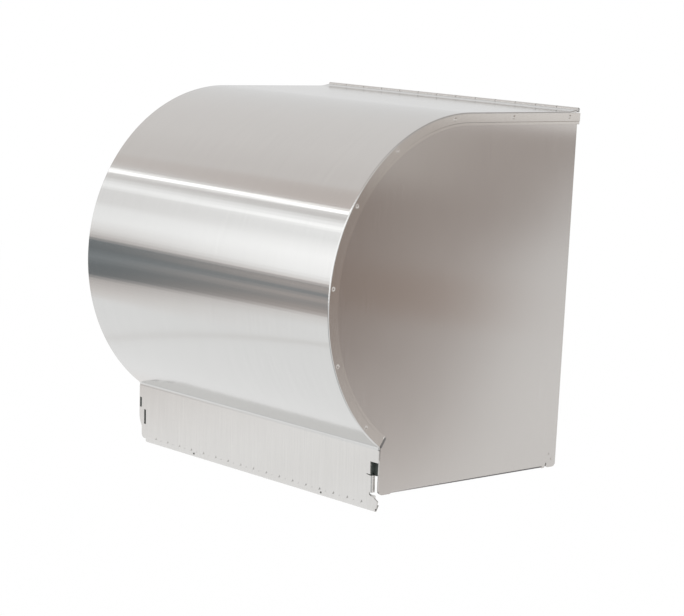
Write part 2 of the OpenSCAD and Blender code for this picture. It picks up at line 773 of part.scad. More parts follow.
// One tooth, or one space of a ring, as points from one foot to the other
function tooth(deg, base, half, r_foot, r_tip) = concat(
  [for (i = [0 : flank_steps]) let (r = r_foot + (r_tip - r_foot) * i / flank_steps)
    [r * cos(deg - flank(max(r, base), base, half)), r * sin(deg - flank(max(r, base), base, half))]],
  [for (i = [flank_steps : -1 : 0]) let (r = r_foot + (r_tip - r_foot) * i / flank_steps)
    [r * cos(deg + flank(max(r, base), base, half)), r * sin(deg + flank(max(r, base), base, half))]]);

sector_over_low = 22;
sector_over_high = 9;
sector_low_deg = drive_deg - lever_travel - sector_over_low;
sector_high_deg = drive_deg + sector_over_high;
sector_rim = 4.4;
spoke_deg = 6.5;
arc_steps = 24;
space_deg = 360 / sector_teeth;
space_count_low = floor((drive_deg - sector_low_deg - spoke_deg - space_deg) / space_deg);
space_count_high = floor((sector_high_deg - drive_deg - space_deg / 2) / space_deg);

module sector_outline() {
  ring_r = sector_pr + gear_m * sector_ded + sector_rim;
  tip_r = sector_pr - gear_m * sector_add;
  turn = [for (i = [0 : arc_steps]) sector_low_deg + (sector_high_deg - sector_low_deg) * i / arc_steps];
  difference() {
    union() {
      polygon(concat(
        [for (a = turn) [ring_r * cos(a), ring_r * sin(a)]],
        [for (i = [arc_steps : -1 : 0]) tip_r * [cos(turn[i]), sin(turn[i])]]));
      polygon([
        [0, 0], [0, -pivot_boss], [ring_r * cos(sector_low_deg), ring_r * sin(sector_low_deg)],
        (tip_r + over) * [cos(sector_low_deg + spoke_deg), sin(sector_low_deg + spoke_deg)],
        [pivot_boss, 0]]);
      circle(r = pivot_boss);
    }
    for (k = [-space_count_low : space_count_high])
      polygon(tooth(drive_deg + k * space_deg, sector_pr * cos(press_deg),
        space_deg / 4 + back_lash / sector_pr * 180 / PI / 2,
        tip_r - near_gap, sector_pr + gear_m * sector_ded));
  }
}

module sector_gear() color("darkslategray") difference() {
  translate([0, pivot_y, pivot_z]) plate_yz(sector_in, ear_in) sector_outline();
  rod(bush_r + fit, sector_in - over, ear_in + over, pivot_y, pivot_z);
  at_sector_rivets() rod(sector_rivet_r + fit, sector_in - over, ear_in + over, 0, 0);
}

module sector_rivets() color("silver") at_sector_rivets() {
  rod(sector_rivet_r, sector_in, ear_out, 0, 0);
  translate([ear_out, 0, 0]) rotate([0, 90, 0])
    cylinder(r1 = head_share * sector_rivet_r, r2 = sector_rivet_r, h = rivet_h);
  translate([sector_in, 0, 0]) rotate([0, -90, 0])
    cylinder(r1 = head_share * sector_rivet_r, r2 = sector_rivet_r, h = rivet_h);
}

pinion_at = ear_in - sector_t / 2 - pinion_w / 2;

module drive_pinion() color("goldenrod") difference() {
  translate([0, drive_y, drive_z]) plate_yz(pinion_at, pinion_at + pinion_w) polygon([
    for (k = [0 : pinion_teeth - 1])
      each tooth(drive_deg + k * 360 / pinion_teeth, pinion_pr * cos(press_deg),
        90 / pinion_teeth - back_lash / pinion_pr * 180 / PI / 2,
        pinion_pr - gear_m * pinion_ded, pinion_pr + gear_m * pinion_add)]);
  rod(shaft_r + run_fit, pinion_at - over, pinion_at + pinion_w + over, drive_y, drive_z);
}

// Drive roller

module drive_shaft() color("silver")
  rod(shaft_r, -panel_in + seat_gap, panel_in - seat_gap, drive_y, drive_z);

module feed_sleeves() color("dimgray") for (k = [-1, 0, 1]) difference() {
  rod(sleeve_r, k * sleeve_pitch - sleeve_len / 2, k * sleeve_pitch + sleeve_len / 2, drive_y, drive_z);
  rod(shaft_r + fit, k * sleeve_pitch - sleeve_len / 2 - over,
    k * sleeve_pitch + sleeve_len / 2 + over, drive_y, drive_z);
}

// Spring clips on the drive shaft, on both sides of the pinion and inside the left bush
module shaft_clips() color("gray") {
  clip_r = shaft_r + clip_w;
  at = [-feed_in + bush_flange_t + near_gap, pinion_at - near_gap - clip_t,
    feed_in - bush_flange_t - near_gap - clip_t];
  for (x = at) difference() {
    rod(clip_r, x, x + clip_t, drive_y, drive_z);
    rod(shaft_r + fit, x - over, x + clip_t + over, drive_y, drive_z);
    span([x - over, drive_y - shaft_r / 2, drive_z - clip_r - over],
      [x + clip_t + over, drive_y + shaft_r / 2, drive_z]);
  }
}

module shaft_bushes() color("ivory") both_sides() difference() {
  union() {
    rod(bush_flange_r, feed_in - bush_flange_t, feed_in, drive_y, drive_z);
    rod(bush_body_r, feed_in, panel_in - near_gap, drive_y, drive_z);
  }
  rod(shaft_r + run_fit, feed_in - bush_flange_t - over, panel_in + over, drive_y, drive_z);
}

// Mechanism plates

rod_y = drive_y + rod_back;
rod_top_z = drive_z + rod_up;
rod_low_z = drive_z - rod_down;
tab_y = pinch_y - block_half - pinch_spring_len;
stop_y = post_y - stop_set;
stop_z = pivot_z + (stop_y - pivot_y) * tan(spring_deg) - bar_half / cos(spring_deg) - stop_gap;

module feed_plate(side) on_side(side) color("darkslategray") {
  top = drive_z + plate_up;
  low = panel_low + panel_t + seat_gap;
  nose = panel_y + plate_set;
  ear_half = (notch_low - notch_top) / 2;
  difference() {
    plate_yz(feed_in, panel_in) polygon([
      [nose, pivot_z - ear_half], [nose, pivot_z + ear_half + plate_round],
      [nose + plate_round, top - plate_round], [nose + 2 * plate_round, top],
      [rod_y, top], [rod_y + plate_round, top - plate_round],
      [rod_y + plate_round, low], [drive_y - bush_flange_r, low],
      [pivot_y, pivot_z - ear_half - plate_round / 2], [nose + plate_round, pivot_z - ear_half]]);
    rod(pivot_r + fit, feed_in - over, panel_in + over, pivot_y, pivot_z);
    rod(bush_body_r + fit, feed_in - over, panel_in + over, drive_y, drive_z);
    // Slot in which the pinch block slides
    span([feed_in - over, pinch_y - block_neck - pinch_travel - near_gap, pinch_z - block_neck - near_gap],
      [panel_in + over, pinch_y + block_neck + near_gap, pinch_z + block_neck + near_gap]);
    for (z = [rod_top_z, rod_low_z]) rod(rod_r / 2 + fit, feed_in - over, panel_in + over, rod_y, z);
    if (side < 0) rod(post_r + fit, feed_in - over, panel_in + over, post_y, post_low_z);
  }
  // Tab on which the left arm's bar rests when the lever is out
  if (side < 0) span([ear_in - stop_over, stop_y - stop_w / 2, stop_z - tab_t],
    [feed_in, stop_y + stop_w / 2, stop_z]);
  // Tab for the pinch spring
  span([feed_in - block_len, tab_y - tab_t, pinch_z - tab_half], [feed_in, tab_y, pinch_z + tab_half]);
}

// Rods with a spigot at each end
module tie_rods() color("silver") for (z = [rod_top_z, rod_low_z]) {
  rod(rod_r, -feed_in, feed_in, rod_y, z);
  rod(rod_r / 2, -panel_in + near_gap, panel_in - near_gap, rod_y, z);
}

// Sheet under the drive roller, rolled round the lower tie rod
module paper_guide() color("lightgray") {
  guide_half = roll_half + guide_over;
  guide_z = drive_z - sleeve_r - guide_gap - guide_t;
  difference() {
    union() {
      span([-guide_half, drive_y - sleeve_r + guide_set, guide_z], [guide_half, rod_y, guide_z + guide_t]);
      rod(rod_r + fit + guide_t, -guide_half, guide_half, rod_y, rod_low_z);
      // Riser from the roll of the sheet to the guide
      span([-guide_half, rod_y + rod_r - guide_t / 2, rod_low_z],
        [guide_half, rod_y + rod_r + guide_t / 2, guide_z + guide_t]);
      span([-guide_half, rod_y, guide_z], [guide_half, rod_y + rod_r, guide_z + guide_t]);
    }
    rod(rod_r + fit, -guide_half - over, guide_half + over, rod_y, rod_low_z);
  }
}

// Pinch roller

module pinch_roller() color("lightgray") difference() {
  rod(pinch_r, -pinch_half, pinch_half, pinch_y, pinch_z);
  rod(axle_r + run_fit, -pinch_half - over, pinch_half + over, pinch_y, pinch_z);
}

module pinch_axle() color("silver")
  rod(axle_r, -panel_in + seat_gap, panel_in - seat_gap, pinch_y, pinch_z);

module pinch_blocks() color("ivory") both_sides() difference() {
  union() {
    span([feed_in - block_len, pinch_y - block_half, pinch_z - block_half],
      [feed_in - near_gap, pinch_y + block_half, pinch_z + block_half]);
    span([feed_in - near_gap, pinch_y - block_neck, pinch_z - block_neck],
      [panel_in - near_gap, pinch_y + block_neck, pinch_z + block_neck]);
  }
  rod(axle_r + fit, feed_in - block_len - over, panel_in + over, pinch_y, pinch_z);
}

pinch_turns = 5;
pinch_coil_y0 = tab_y + wire_r + near_gap;
pinch_coil_y1 = pinch_y - block_half - wire_r - near_gap;
pinch_spring_path = [for (i = [0 : pinch_turns * ring_steps]) let (a = 360 * i / ring_steps)
  [feed_in - block_len / 2 + pinch_coil_r * cos(a),
    pinch_coil_y0 + i / ring_steps * (pinch_coil_y1 - pinch_coil_y0) / pinch_turns,
    pinch_z + pinch_coil_r * sin(a)]];

module pinch_springs() color("silver") both_sides() wire(pinch_spring_path, wire_r, [1, 0, 0]);
echo(pinch_spring_least_gap = least_gap(pinch_spring_path, wire_r));

// Roll holder

module arm_blade(x0, x1, y_back) {
  // Flat bar with a round front end
  plate_yz(x0, x1) union() {
    translate([roll_y, roll_z - arm_h / 2]) square([-roll_y + y_back, arm_h]);
    translate([roll_y, roll_z]) circle(r = arm_h / 2);
  }
}

// Middle of the left arm's foot and of the right arm's bracket
left_foot_x = arm_out + (foot_w - arm_t) / 2;
right_foot_x = arm_pivot_x - arm_knuckle_r - foot_w / 2;

module at_foot_rivets(x0) {
  for (sz = [-1, 1]) translate([x0, -back_t, roll_z + sz * arm_h / 4]) children();
}

module hub_pin_hole() { rod(hub_pin_r / 2 + fit, arm_in - over, arm_out + over, roll_y, roll_z); }

module roll_arm_left() color("silver") mirror([1, 0, 0]) difference() {
  union() {
    arm_blade(arm_in, arm_out, -back_t);
    span([arm_in, -back_t - arm_t, roll_z - arm_h / 2], [arm_in + foot_w, -back_t, roll_z + arm_h / 2]);
  }
  hub_pin_hole();
  at_foot_rivets(left_foot_x) foot_hole();
}

module foot_hole() {
  translate([0, over, 0]) rotate([90, 0, 0]) cylinder(r = foot_hole_r + fit, h = arm_t + 2 * over);
}

module roll_arm_right() color("silver") difference() {
  union() {
    arm_blade(arm_in, arm_out, arm_pivot_y);
    translate([arm_pivot_x, arm_pivot_y, roll_z - arm_h / 2]) cylinder(r = arm_knuckle_r, h = arm_h);
    rod(arm_seat_r, arm_out, arm_out + arm_seat_h, arm_spring_y, roll_z);
  }
  hub_pin_hole();
  translate([arm_pivot_x, arm_pivot_y, roll_z - arm_h]) cylinder(r = arm_pin_r + run_fit, h = 2 * arm_h);
}

// Bracket on the back plate, with an ear above and below the right arm
module arm_bracket() color("darkgray") {
  inner = arm_h / 2 + seat_gap;
  difference() {
    union() {
      span([arm_pivot_x - arm_knuckle_r - foot_w, -back_t - arm_t, roll_z - inner - bracket_ear],
        [arm_pivot_x + arm_knuckle_r, -back_t, roll_z + inner + bracket_ear]);
      for (z = [roll_z - inner - bracket_ear, roll_z + inner]) {
        span([arm_pivot_x - arm_knuckle_r, arm_pivot_y, z],
          [arm_pivot_x + arm_knuckle_r, -back_t, z + bracket_ear]);
        translate([arm_pivot_x, arm_pivot_y, z]) cylinder(r = arm_knuckle_r, h = bracket_ear);
      }
    }
    translate([arm_pivot_x, arm_pivot_y, roll_z - arm_h]) cylinder(r = arm_pin_r + fit, h = 2 * arm_h);
    at_foot_rivets(right_foot_x) foot_hole();
  }
}

module arm_pin() color("silver") {
  reach = arm_h / 2 + seat_gap + bracket_ear;
  translate([arm_pivot_x, arm_pivot_y, roll_z - reach - rivet_h])
    cylinder(r = arm_pin_r, h = 2 * (reach + rivet_h));
  for (z = [roll_z - reach - rivet_h, roll_z + reach])
    translate([arm_pivot_x, arm_pivot_y, z]) cylinder(r = pin_head_share * arm_pin_r, h = rivet_h);
}

arm_turns = 7;
arm_coil_x0 = arm_out + arm_wire_r + near_gap;
arm_coil_x1 = panel_in - seat_t - arm_wire_r - near_gap;
arm_spring_path = [for (i = [0 : arm_turns * ring_steps]) let (a = 360 * i / ring_steps)
  [arm_coil_x0 + i / ring_steps * (arm_coil_x1 - arm_coil_x0) / arm_turns,
    arm_spring_y + arm_coil_r * cos(a), roll_z + arm_coil_r * sin(a)]];

// Nylon cup on the side panel, against which the spring bears
module spring_seat() color("ivory") {
  rod(seat_r, panel_in - seat_t, panel_in, arm_spring_y, roll_z);
  rod(arm_seat_r, panel_in - seat_t - arm_seat_h, panel_in - seat_t, arm_spring_y, roll_z);
}

module arm_spring() color("silver") wire(arm_spring_path, arm_wire_r, [0, 1, 0]);
echo(arm_spring_least_gap = least_gap(arm_spring_path, arm_wire_r));

// Hub that the roll's core slips over, turning on its pin
module core_hub(side) on_side(side) color("whitesmoke") {
  face = arm_in - seat_gap;
  difference() {
    union() {
      rod(collar_r, face - collar_t, face, roll_y, roll_z);
      rod(hub_r, face - collar_t - hub_len, face, roll_y, roll_z);
      translate([face - collar_t - hub_len, roll_y, roll_z]) rotate([0, -90, 0])
        cylinder(r1 = hub_r, r2 = hub_r - hub_lead, h = hub_lead);
    }
    rod(hub_pin_r / 2 + run_fit, face - collar_t - hub_len - hub_lead - over, face + over, roll_y, roll_z);
    // Hollow from the inside end, in which the pin's head sits
    rod(hub_r - 2 * hub_lead, face - collar_t - hub_len - hub_lead - over, face - 2 * collar_t, roll_y, roll_z);
  }
}

// Headed pin of a hub, riveted in the arm
module hub_pin(side) color("silver") on_side(side) {
  head_in = arm_in - seat_gap - 2 * collar_t - 2 * near_gap;
  rod(hub_pin_r / 2, head_in - rivet_h, arm_out + rivet_h, roll_y, roll_z);
  rod(hub_pin_r, head_in - rivet_h, head_in, roll_y, roll_z);
  rod(hub_pin_r, arm_out, arm_out + rivet_h, roll_y, roll_z);
}

// Rivets of the left arm and the right bracket in the back plate
module arm_rivets() color("darkgray") {
  for (x = [-left_foot_x, right_foot_x])
    at_foot_rivets(x) rotate([90, 0, 0]) {
      cylinder(r = foot_hole_r, h = arm_t);
      translate([0, 0, arm_t]) cylinder(r1 = head_share * foot_hole_r, r2 = foot_hole_r, h = rivet_h);
    }
}

back_plate();
side_panel(-1);  // side_panel_left
side_panel(1);  // side_panel_right
hinge_leaf_wall();
hinge_pin();
hinge_leaf_cover();
cover_sheet();
cover_rim(-1);  // cover_rim_left
cover_rim(1);  // cover_rim_right
cover_bumpers();
lever_plate();
tear_blade();
blade_rivets();
lever_arm_left();
lever_arm_right();
lever_bushes();
lever_shaft();
lever_spring();
spring_peg_arm();
spring_peg_plate();
sector_gear();
sector_rivets();
drive_pinion();
drive_shaft();
feed_sleeves();
shaft_clips();
shaft_bushes();
feed_plate(-1);  // feed_plate_left
feed_plate(1);  // feed_plate_right
tie_rods();
paper_guide();
pinch_roller();
pinch_axle();
pinch_blocks();
pinch_springs();
roll_arm_left();
roll_arm_right();
arm_bracket();
arm_pin();
arm_spring();
spring_seat();
core_hub(-1);  // core_hub_left
core_hub(1);  // core_hub_right
hub_pin(-1);  // hub_pin_left
hub_pin(1);  // hub_pin_right
arm_rivets();
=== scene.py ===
import math

import bmesh
import bpy
from mathutils import Matrix, Vector


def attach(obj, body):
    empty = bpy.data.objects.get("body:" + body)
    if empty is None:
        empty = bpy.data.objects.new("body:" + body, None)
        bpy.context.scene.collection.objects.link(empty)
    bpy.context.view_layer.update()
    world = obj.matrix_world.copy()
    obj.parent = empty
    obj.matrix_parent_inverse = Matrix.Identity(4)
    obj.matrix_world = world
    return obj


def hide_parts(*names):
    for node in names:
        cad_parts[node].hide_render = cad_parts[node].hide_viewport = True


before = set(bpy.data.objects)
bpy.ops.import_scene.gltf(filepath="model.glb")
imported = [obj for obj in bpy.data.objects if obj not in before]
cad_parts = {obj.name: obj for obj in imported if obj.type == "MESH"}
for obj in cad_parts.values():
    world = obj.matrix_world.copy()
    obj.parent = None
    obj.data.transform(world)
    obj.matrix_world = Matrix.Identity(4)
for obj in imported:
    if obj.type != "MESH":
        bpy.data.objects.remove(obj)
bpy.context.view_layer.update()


# The camera stands far off at the front right, a little above the cabinet's middle,
# and is turned a few degrees about its own view.
def place_camera():
    azimuth, elevation, roll = (math.radians(a) for a in (46.961, 8.615, 2.887))
    aim = Vector((-0.08155, -0.02257, -0.0441))
    distance, sensor_mm, lens_mm = 1.7076, 36, 115.71
    level_part = math.cos(elevation)
    back = Vector((math.sin(azimuth) * level_part, -math.cos(azimuth) * level_part, math.sin(elevation)))
    right = (-back).cross(Vector((0, 0, 1))).normalized()
    up = right.cross(-back)
    right, up = (right * math.cos(roll) + up * math.sin(roll),
                 up * math.cos(roll) - right * math.sin(roll))
    turn = Matrix((right, up, back)).transposed().to_4x4()
    lens = bpy.data.cameras.new("photo_camera")
    lens.sensor_fit = "HORIZONTAL"
    lens.sensor_width = sensor_mm
    lens.lens = lens_mm
    camera = bpy.data.objects.new("photo_camera", lens)
    camera.matrix_world = Matrix.Translation(aim + distance * back) @ turn
    bpy.context.collection.objects.link(camera)
    bpy.context.scene.camera = camera


place_camera()


# The studio: a white floor well below the wall-hung cabinet, and an even white surround that
# lights it from all sides.
def add(tree, kind, inputs=None, **settings):
    """Adds a node: settings are its properties, inputs are values or other nodes' outputs."""
    made = tree.nodes.new(kind)
    for name, value in settings.items():
        setattr(made, name, value)
    for name, value in (inputs or {}).items():
        if isinstance(value, bpy.types.NodeSocket):
            tree.links.new(value, made.inputs[name])
        else:
            made.inputs[name].default_value = value
    return made


def new_material(name):
    material = bpy.data.materials.new(name)
    material.use_nodes = True
    material.node_tree.nodes.clear()
    return material, material.node_tree


def colour(code):
    """An sRGB hex value as linear red, green, blue and alpha."""
    parts = [int(code[i:i + 2], 16) / 255 for i in (1, 3, 5)]
    return [p / 12.92 if p <= 0.04045 else ((p + 0.055) / 1.055) ** 2.4 for p in parts] + [1]


def deselect():
    bpy.ops.object.select_all(action="DESELECT")


FLOOR_Z = -0.9
FLOOR_SIZE = 12
deselect()
bpy.ops.mesh.primitive_plane_add(size=FLOOR_SIZE, location=(0, 0, FLOOR_Z))
floor = bpy.context.object
floor.name = "studio_floor"
material, tree = new_material("white_floor")
painted = add(tree, "ShaderNodeBsdfDiffuse", {"Color": colour("#FFFFFF")})
add(tree, "ShaderNodeOutputMaterial", {"Surface": painted.outputs[0]})
floor.data.materials.append(material)

world = bpy.data.worlds.new("white_surround")
bpy.context.scene.world = world
world.use_nodes = True
tree = world.node_tree
tree.nodes.clear()
white = add(tree, "ShaderNodeBackground", {"Color": colour("#FFFFFF"), "Strength": 1.0})
add(tree, "ShaderNodeOutputWorld", {"Surface": white.outputs[0]})
bpy.context.scene.view_settings.view_transform = "Standard"


# A white tent round the cabinet, seen only in its shiny surfaces: a pale roof, two strip lamps
# and a soft box in front, the dark room above the white table, and a grey wall at the right.
# Its angles run from straight up (0) to the front (90), straight down (180) and the back (-90).
def maths(tree, operation, *values):
    return add(tree, "ShaderNodeMath", dict(enumerate(values)), operation=operation).outputs[0]


def ranged(tree, value, start, end, low=0.0, high=1.0, soft=False):
    """Low up to the start and high from the end on, with a straight or a soft passage between."""
    limits = {"Value": value, "From Min": start, "From Max": end, "To Min": low, "To Max": high}
    passage = "SMOOTHSTEP" if soft else "LINEAR"
    return add(tree, "ShaderNodeMapRange", limits, interpolation_type=passage).outputs[0]


def blend(tree, share, near, far):
    """The near colour where the share is 0 and the far one where it is 1."""
    inputs = {"Factor": share, 6: near, 7: far}
    return add(tree, "ShaderNodeMix", inputs, data_type="RGBA").outputs[2]


MM = 0.001
# The axis of the cover's round front, which is also the tent's
CENTRE_Y, CENTRE_Z = -110.2, 3
TENT_RADIUS = 0.45
TENT_LENGTH = 3.2
deselect()
bpy.ops.mesh.primitive_cylinder_add(
    vertices=128, radius=TENT_RADIUS, depth=TENT_LENGTH, end_fill_type="NOTHING",
    location=(0, CENTRE_Y * MM, CENTRE_Z * MM), rotation=(0, math.pi / 2, 0))
tent = bpy.context.object
tent.name = "studio_tent"
tent.visible_camera = tent.visible_diffuse = tent.visible_transmission = tent.visible_shadow = False
# Angle, brightness and warmth: all round, then finer in front, at the tent's left and at its
# right, and on the grey wall
ROUND_LIGHT = [
    (-180, 1.02, 0.0), (-170, 0.97, 0.1), (-160, 0.92, 0.3), (-145, 0.9, 0.2), (-110, 0.98, 0.0),
    (-75, 0.86, 0.0), (-62, 0.8, 0.0), (-45, 0.8, 0.1), (-20, 0.81, 0.3), (10, 0.8, 0.4),
    (28, 0.75, 0.5), (132, 0.98, 0.0), (180, 1.02, 0.0)]
LEFT_LIGHT = [
    (30, 0.75, 0.5), (36, 0.7, 0.7), (40.5, 0.7, 0.7), (44.9, 0.84, 0.2), (45.5, 2.2, 0.0),
    (46.8, 2.2, 0.0), (47.3, 0.85, 0.2), (50, 0.76, 0.3), (54, 1.14, 0.0), (55.5, 1.22, 0.0),
    (57, 1.22, 0.0), (58.6, 0.97, 0.1), (66.5, 0.97, 0.1), (70, 1.12, 0.0), (77, 1.16, 0.0),
    (83, 0.97, 0.2), (87, 0.7, 0.5), (88.8, 0.52, 0.6), (89.7, 0.25, -0.8), (94, 0.22, -0.8),
    (98, 0.3, -0.8), (102, 0.22, -0.8), (107.6, 0.22, -0.6), (111, 0.58, 0.6), (118, 0.77, 0.5),
    (124, 0.92, 0.2), (130, 0.97, 0.0)]
RIGHT_LIGHT = [
    (30, 0.73, 0.7), (36, 0.64, 0.9), (42.5, 0.64, 1.0), (44.9, 0.7, 0.7), (45.5, 2.2, 0.0),
    (46.8, 2.2, 0.0), (47.3, 0.85, 0.2), (50.5, 0.76, 0.3), (53.2, 1.2, 0.0), (55, 1.26, 0.0),
    (55.8, 1.5, 0.0), (56.8, 1.5, 0.0), (58, 1.16, 0.0), (63, 1.12, 0.0), (68.5, 1.28, 0.0),
    (74, 1.37, 0.0), (84, 1.28, 0.0), (87, 1.08, 0.1), (88.8, 0.85, 0.7), (89.7, 0.36, 0.3),
    (92, 0.5, 1.0), (95.5, 0.3, -0.6), (99, 0.48, 1.0), (102.5, 0.36, 0.4), (106, 0.42, 1.0),
    (108.6, 0.5, 0.9), (111.2, 0.86, 0.3), (117, 0.99, 0.0), (130, 0.98, 0.0)]
WALL_LIGHT = [
    (-135, 0.85, 0.2), (-127, 0.7, 0.5), (-122, 0.56, 0.8), (-117, 0.5, 0.9), (-105.6, 0.48, 1.0),
    (-104.9, 0.35, 2.4), (-99.8, 0.36, 2.2), (-99.2, 0.45, 1.2), (-90, 0.42, 1.2),
    (-80.2, 0.46, 1.0), (-79.6, 0.95, 0.2)]
material, tree = new_material("tent_light")
place = add(tree, "ShaderNodeNewGeometry").outputs["Position"]
axes = add(tree, "ShaderNodeSeparateXYZ", {"Vector": place}).outputs
ahead = maths(tree, "SUBTRACT", CENTRE_Y * MM, axes["Y"])
above = maths(tree, "SUBTRACT", axes["Z"], CENTRE_Z * MM)
angle = maths(tree, "DEGREES", maths(tree, "ARCTAN2", ahead, above))
LAMP_MIDDLE, LAMP_HALF = -0.393, 0.134
across = maths(tree, "SUBTRACT", axes["X"], LAMP_MIDDLE)
# The strip lamps dip a little to the right, and the table's far edge climbs
LAMP_DIP, TABLE_CLIMB = -6.7, 23.5
dip = ranged(tree, angle, 60.0, 80.0, LAMP_DIP, 0.0)
climb = ranged(tree, angle, 92.0, 108.0, 0.0, TABLE_CLIMB)
leaning = maths(tree, "MULTIPLY_ADD", maths(tree, "ADD", dip, climb), across, angle)
TENT_MOST = 2.6
glows = []
for stops, turn in ((ROUND_LIGHT, angle), (LEFT_LIGHT, leaning), (RIGHT_LIGHT, leaning),
                    (WALL_LIGHT, angle)):
    low, high = stops[0][0], stops[-1][0]
    share = ranged(tree, turn, low, high)
    ramp = add(tree, "ShaderNodeValToRGB", {"Fac": share})
    points = ramp.color_ramp.elements
    for i, (degrees, light, warmth) in enumerate(stops):
        point = points[i] if i < 2 else points.new(1)
        point.position = (degrees - low) / (high - low)
        point.color = [light / TENT_MOST * (1 + tint * warmth) for tint in (0.1, 0, -0.055)] + [1]
    glows.append(ramp.outputs["Color"])
# The wall starts this far to the right, in metres, at each of these angles; low, high and share
# are still those of the wall's light
WALL_EDGE = [(-135, 0.52), (-105, 0.51), (-97, 0.495), (-91, 0.45), (-86, 0.41), (-75, 0.34)]
WALL_SOFT = 0.09
edge = add(tree, "ShaderNodeFloatCurve", {"Value": share})
edge.mapping.extend = "HORIZONTAL"
line = edge.mapping.curves[0].points
for i, (degrees, start) in enumerate(WALL_EDGE):
    at = ((degrees - low) / (high - low), start)
    if i < 2:
        line[i].location = at
    else:
        line.new(*at)
edge.mapping.update()
past = maths(tree, "SUBTRACT", axes["X"], edge.outputs[0])
all_round, at_left, at_right, on_wall = glows
FRONT_MIDDLE, FRONT_HALF = 80.0, 47.0
in_front = maths(tree, "COMPARE", angle, FRONT_MIDDLE, FRONT_HALF)
lit = blend(tree, ranged(tree, across, -LAMP_HALF, LAMP_HALF), at_left, at_right)
lit = blend(tree, in_front, all_round, lit)
lit = blend(tree, ranged(tree, past, -WALL_SOFT / 2, WALL_SOFT / 2, soft=True), lit, on_wall)
# What only bends and rounded edges see: a dark doorway behind the table, a dark beam under the
# roof, a strip lamp at the front right, a shadow under it, and a cloth, a shelf and a card on the
# wall. Each is given by its middle angle, half its height and its soft edge in degrees, then by
# where it starts and ends across and its soft edge there in metres, its tone and its share.
PATCHES = [
    (-132, 16, 6, -0.15, 0.31, 0.06, (0.1, 0.1, 0.11), 0.85),
    (-13, 48, 5, 0.0, 0.9, 0.2, (0.45, 0.42, 0.4), 0.9),
    (71, 25, 4, 0.05, 0.75, 0.15, (1.6, 1.6, 1.6), 1),
    (127, 28, 5, 0.0, 0.9, 0.2, (0.45, 0.46, 0.46), 0.9),
    (-99, 12, 9, 0.65, 1.7, 0.06, (0.27, 0.215, 0.19), 0.85),
    (-104, 13, 4, -1.7, 0.31, 0.06, (0.28, 0.24, 0.21), 0.95),
    (-82, 5, 5, 0.58, 1.7, 0.06, (0.72, 0.69, 0.66), 0.8)]
for middle, half, soft, start, end, soft_across, tone, most in PATCHES:
    turned = maths(tree, "ABSOLUTE", maths(tree, "SUBTRACT", angle, middle))
    tall = ranged(tree, turned, half, half + soft, most, 0.0, soft=True)
    beside = maths(tree, "ABSOLUTE", maths(tree, "SUBTRACT", axes["X"], (start + end) / 2))
    reach = (end - start) / 2
    wide = ranged(tree, beside, reach - soft_across, reach, 1.0, 0.0, soft=True)
    lit = blend(tree, maths(tree, "MULTIPLY", tall, wide), lit, [t / TENT_MOST for t in tone] + [1])
# A thin seam in the tent's floor, bowed
SEAM_BOW, SEAM_LEAN, SEAM_ANGLE, SEAM_HALF = 145.0, -93.0, 134.1, 2.4
SEAM_TONE = (0.3, 0.22, 0.16)
seam = maths(tree, "MULTIPLY_ADD", across, SEAM_BOW, SEAM_LEAN)
seam = maths(tree, "MULTIPLY_ADD", seam, across, SEAM_ANGLE)
off = maths(tree, "ABSOLUTE", maths(tree, "SUBTRACT", angle, seam))
shade = ranged(tree, off, 0.0, SEAM_HALF, 1.0, 0.0, soft=True)
depth = ranged(tree, across, -0.17, 0.17, 0.3, 0.14)
shade = maths(tree, "MULTIPLY", shade, depth)
lit = blend(tree, shade, lit, [t / TENT_MOST for t in SEAM_TONE] + [1])
glow = add(tree, "ShaderNodeEmission", {"Color": lit, "Strength": TENT_MOST})
add(tree, "ShaderNodeOutputMaterial", {"Surface": glow.outputs[0]})
tent.data.materials.append(material)


# Back plate: pressed from 1.2 mm stainless sheet with its mill finish left on, a flange
# turned forwards at the bottom and four screw holes. The rest of the cabinet is welded to it.
def tinted(tree, code, tone):
    inputs = {0: colour(code)[:3], "Scale": tone}
    return add(tree, "ShaderNodeVectorMath", inputs, operation="SCALE").outputs[0]


def sheet_metal(name, code, roughness, grain=(2.6, 0.03, 0.03), across=(1, 0, 0), contrast=0.05):
    """Stainless sheet, satin ground: grit leaves fine lines, so its gloss spreads across them and
    stays sharp along them. The real lines are 0.1 mm apart; they are drawn 0.4 mm apart here, so
    that they show."""
    material, tree = new_material(name)
    place = add(tree, "ShaderNodeTexCoord").outputs["Object"]
    lines = add(tree, "ShaderNodeMapping", {"Vector": place, "Scale": [g / MM for g in grain]})
    lines = add(tree, "ShaderNodeTexNoise", {"Vector": lines.outputs[0], "Scale": 1.0, "Detail": 3.0})
    clouds = add(tree, "ShaderNodeTexNoise", {"Vector": place, "Scale": 45.0, "Detail": 2.0})
    clouds = maths(tree, "MULTIPLY", clouds.outputs["Fac"], 0.2)
    marks = maths(tree, "ADD", lines.outputs["Fac"], clouds)
    tone = ranged(tree, marks, 0.3, 0.9, 1 - contrast, 1 + contrast)
    rough = ranged(tree, marks, 0.3, 0.9, roughness * 0.94, roughness * 1.06)
    bump = add(tree, "ShaderNodeBump", {
        "Height": lines.outputs["Fac"], "Strength": 0.06, "Distance": 0.02 * MM})
    along = add(tree, "ShaderNodeCombineXYZ", {"X": across[0], "Y": across[1], "Z": across[2]})
    steel = add(tree, "ShaderNodeBsdfPrincipled", {
        "Base Color": tinted(tree, code, tone), "Metallic": 1.0, "Roughness": rough,
        "Anisotropic": 0.85, "Tangent": along.outputs[0], "Normal": bump.outputs[0]})
    add(tree, "ShaderNodeOutputMaterial", {"Surface": steel.outputs[0]})
    return material


def only(piece):
    deselect()
    piece.select_set(True)
    bpy.context.view_layer.objects.active = piece


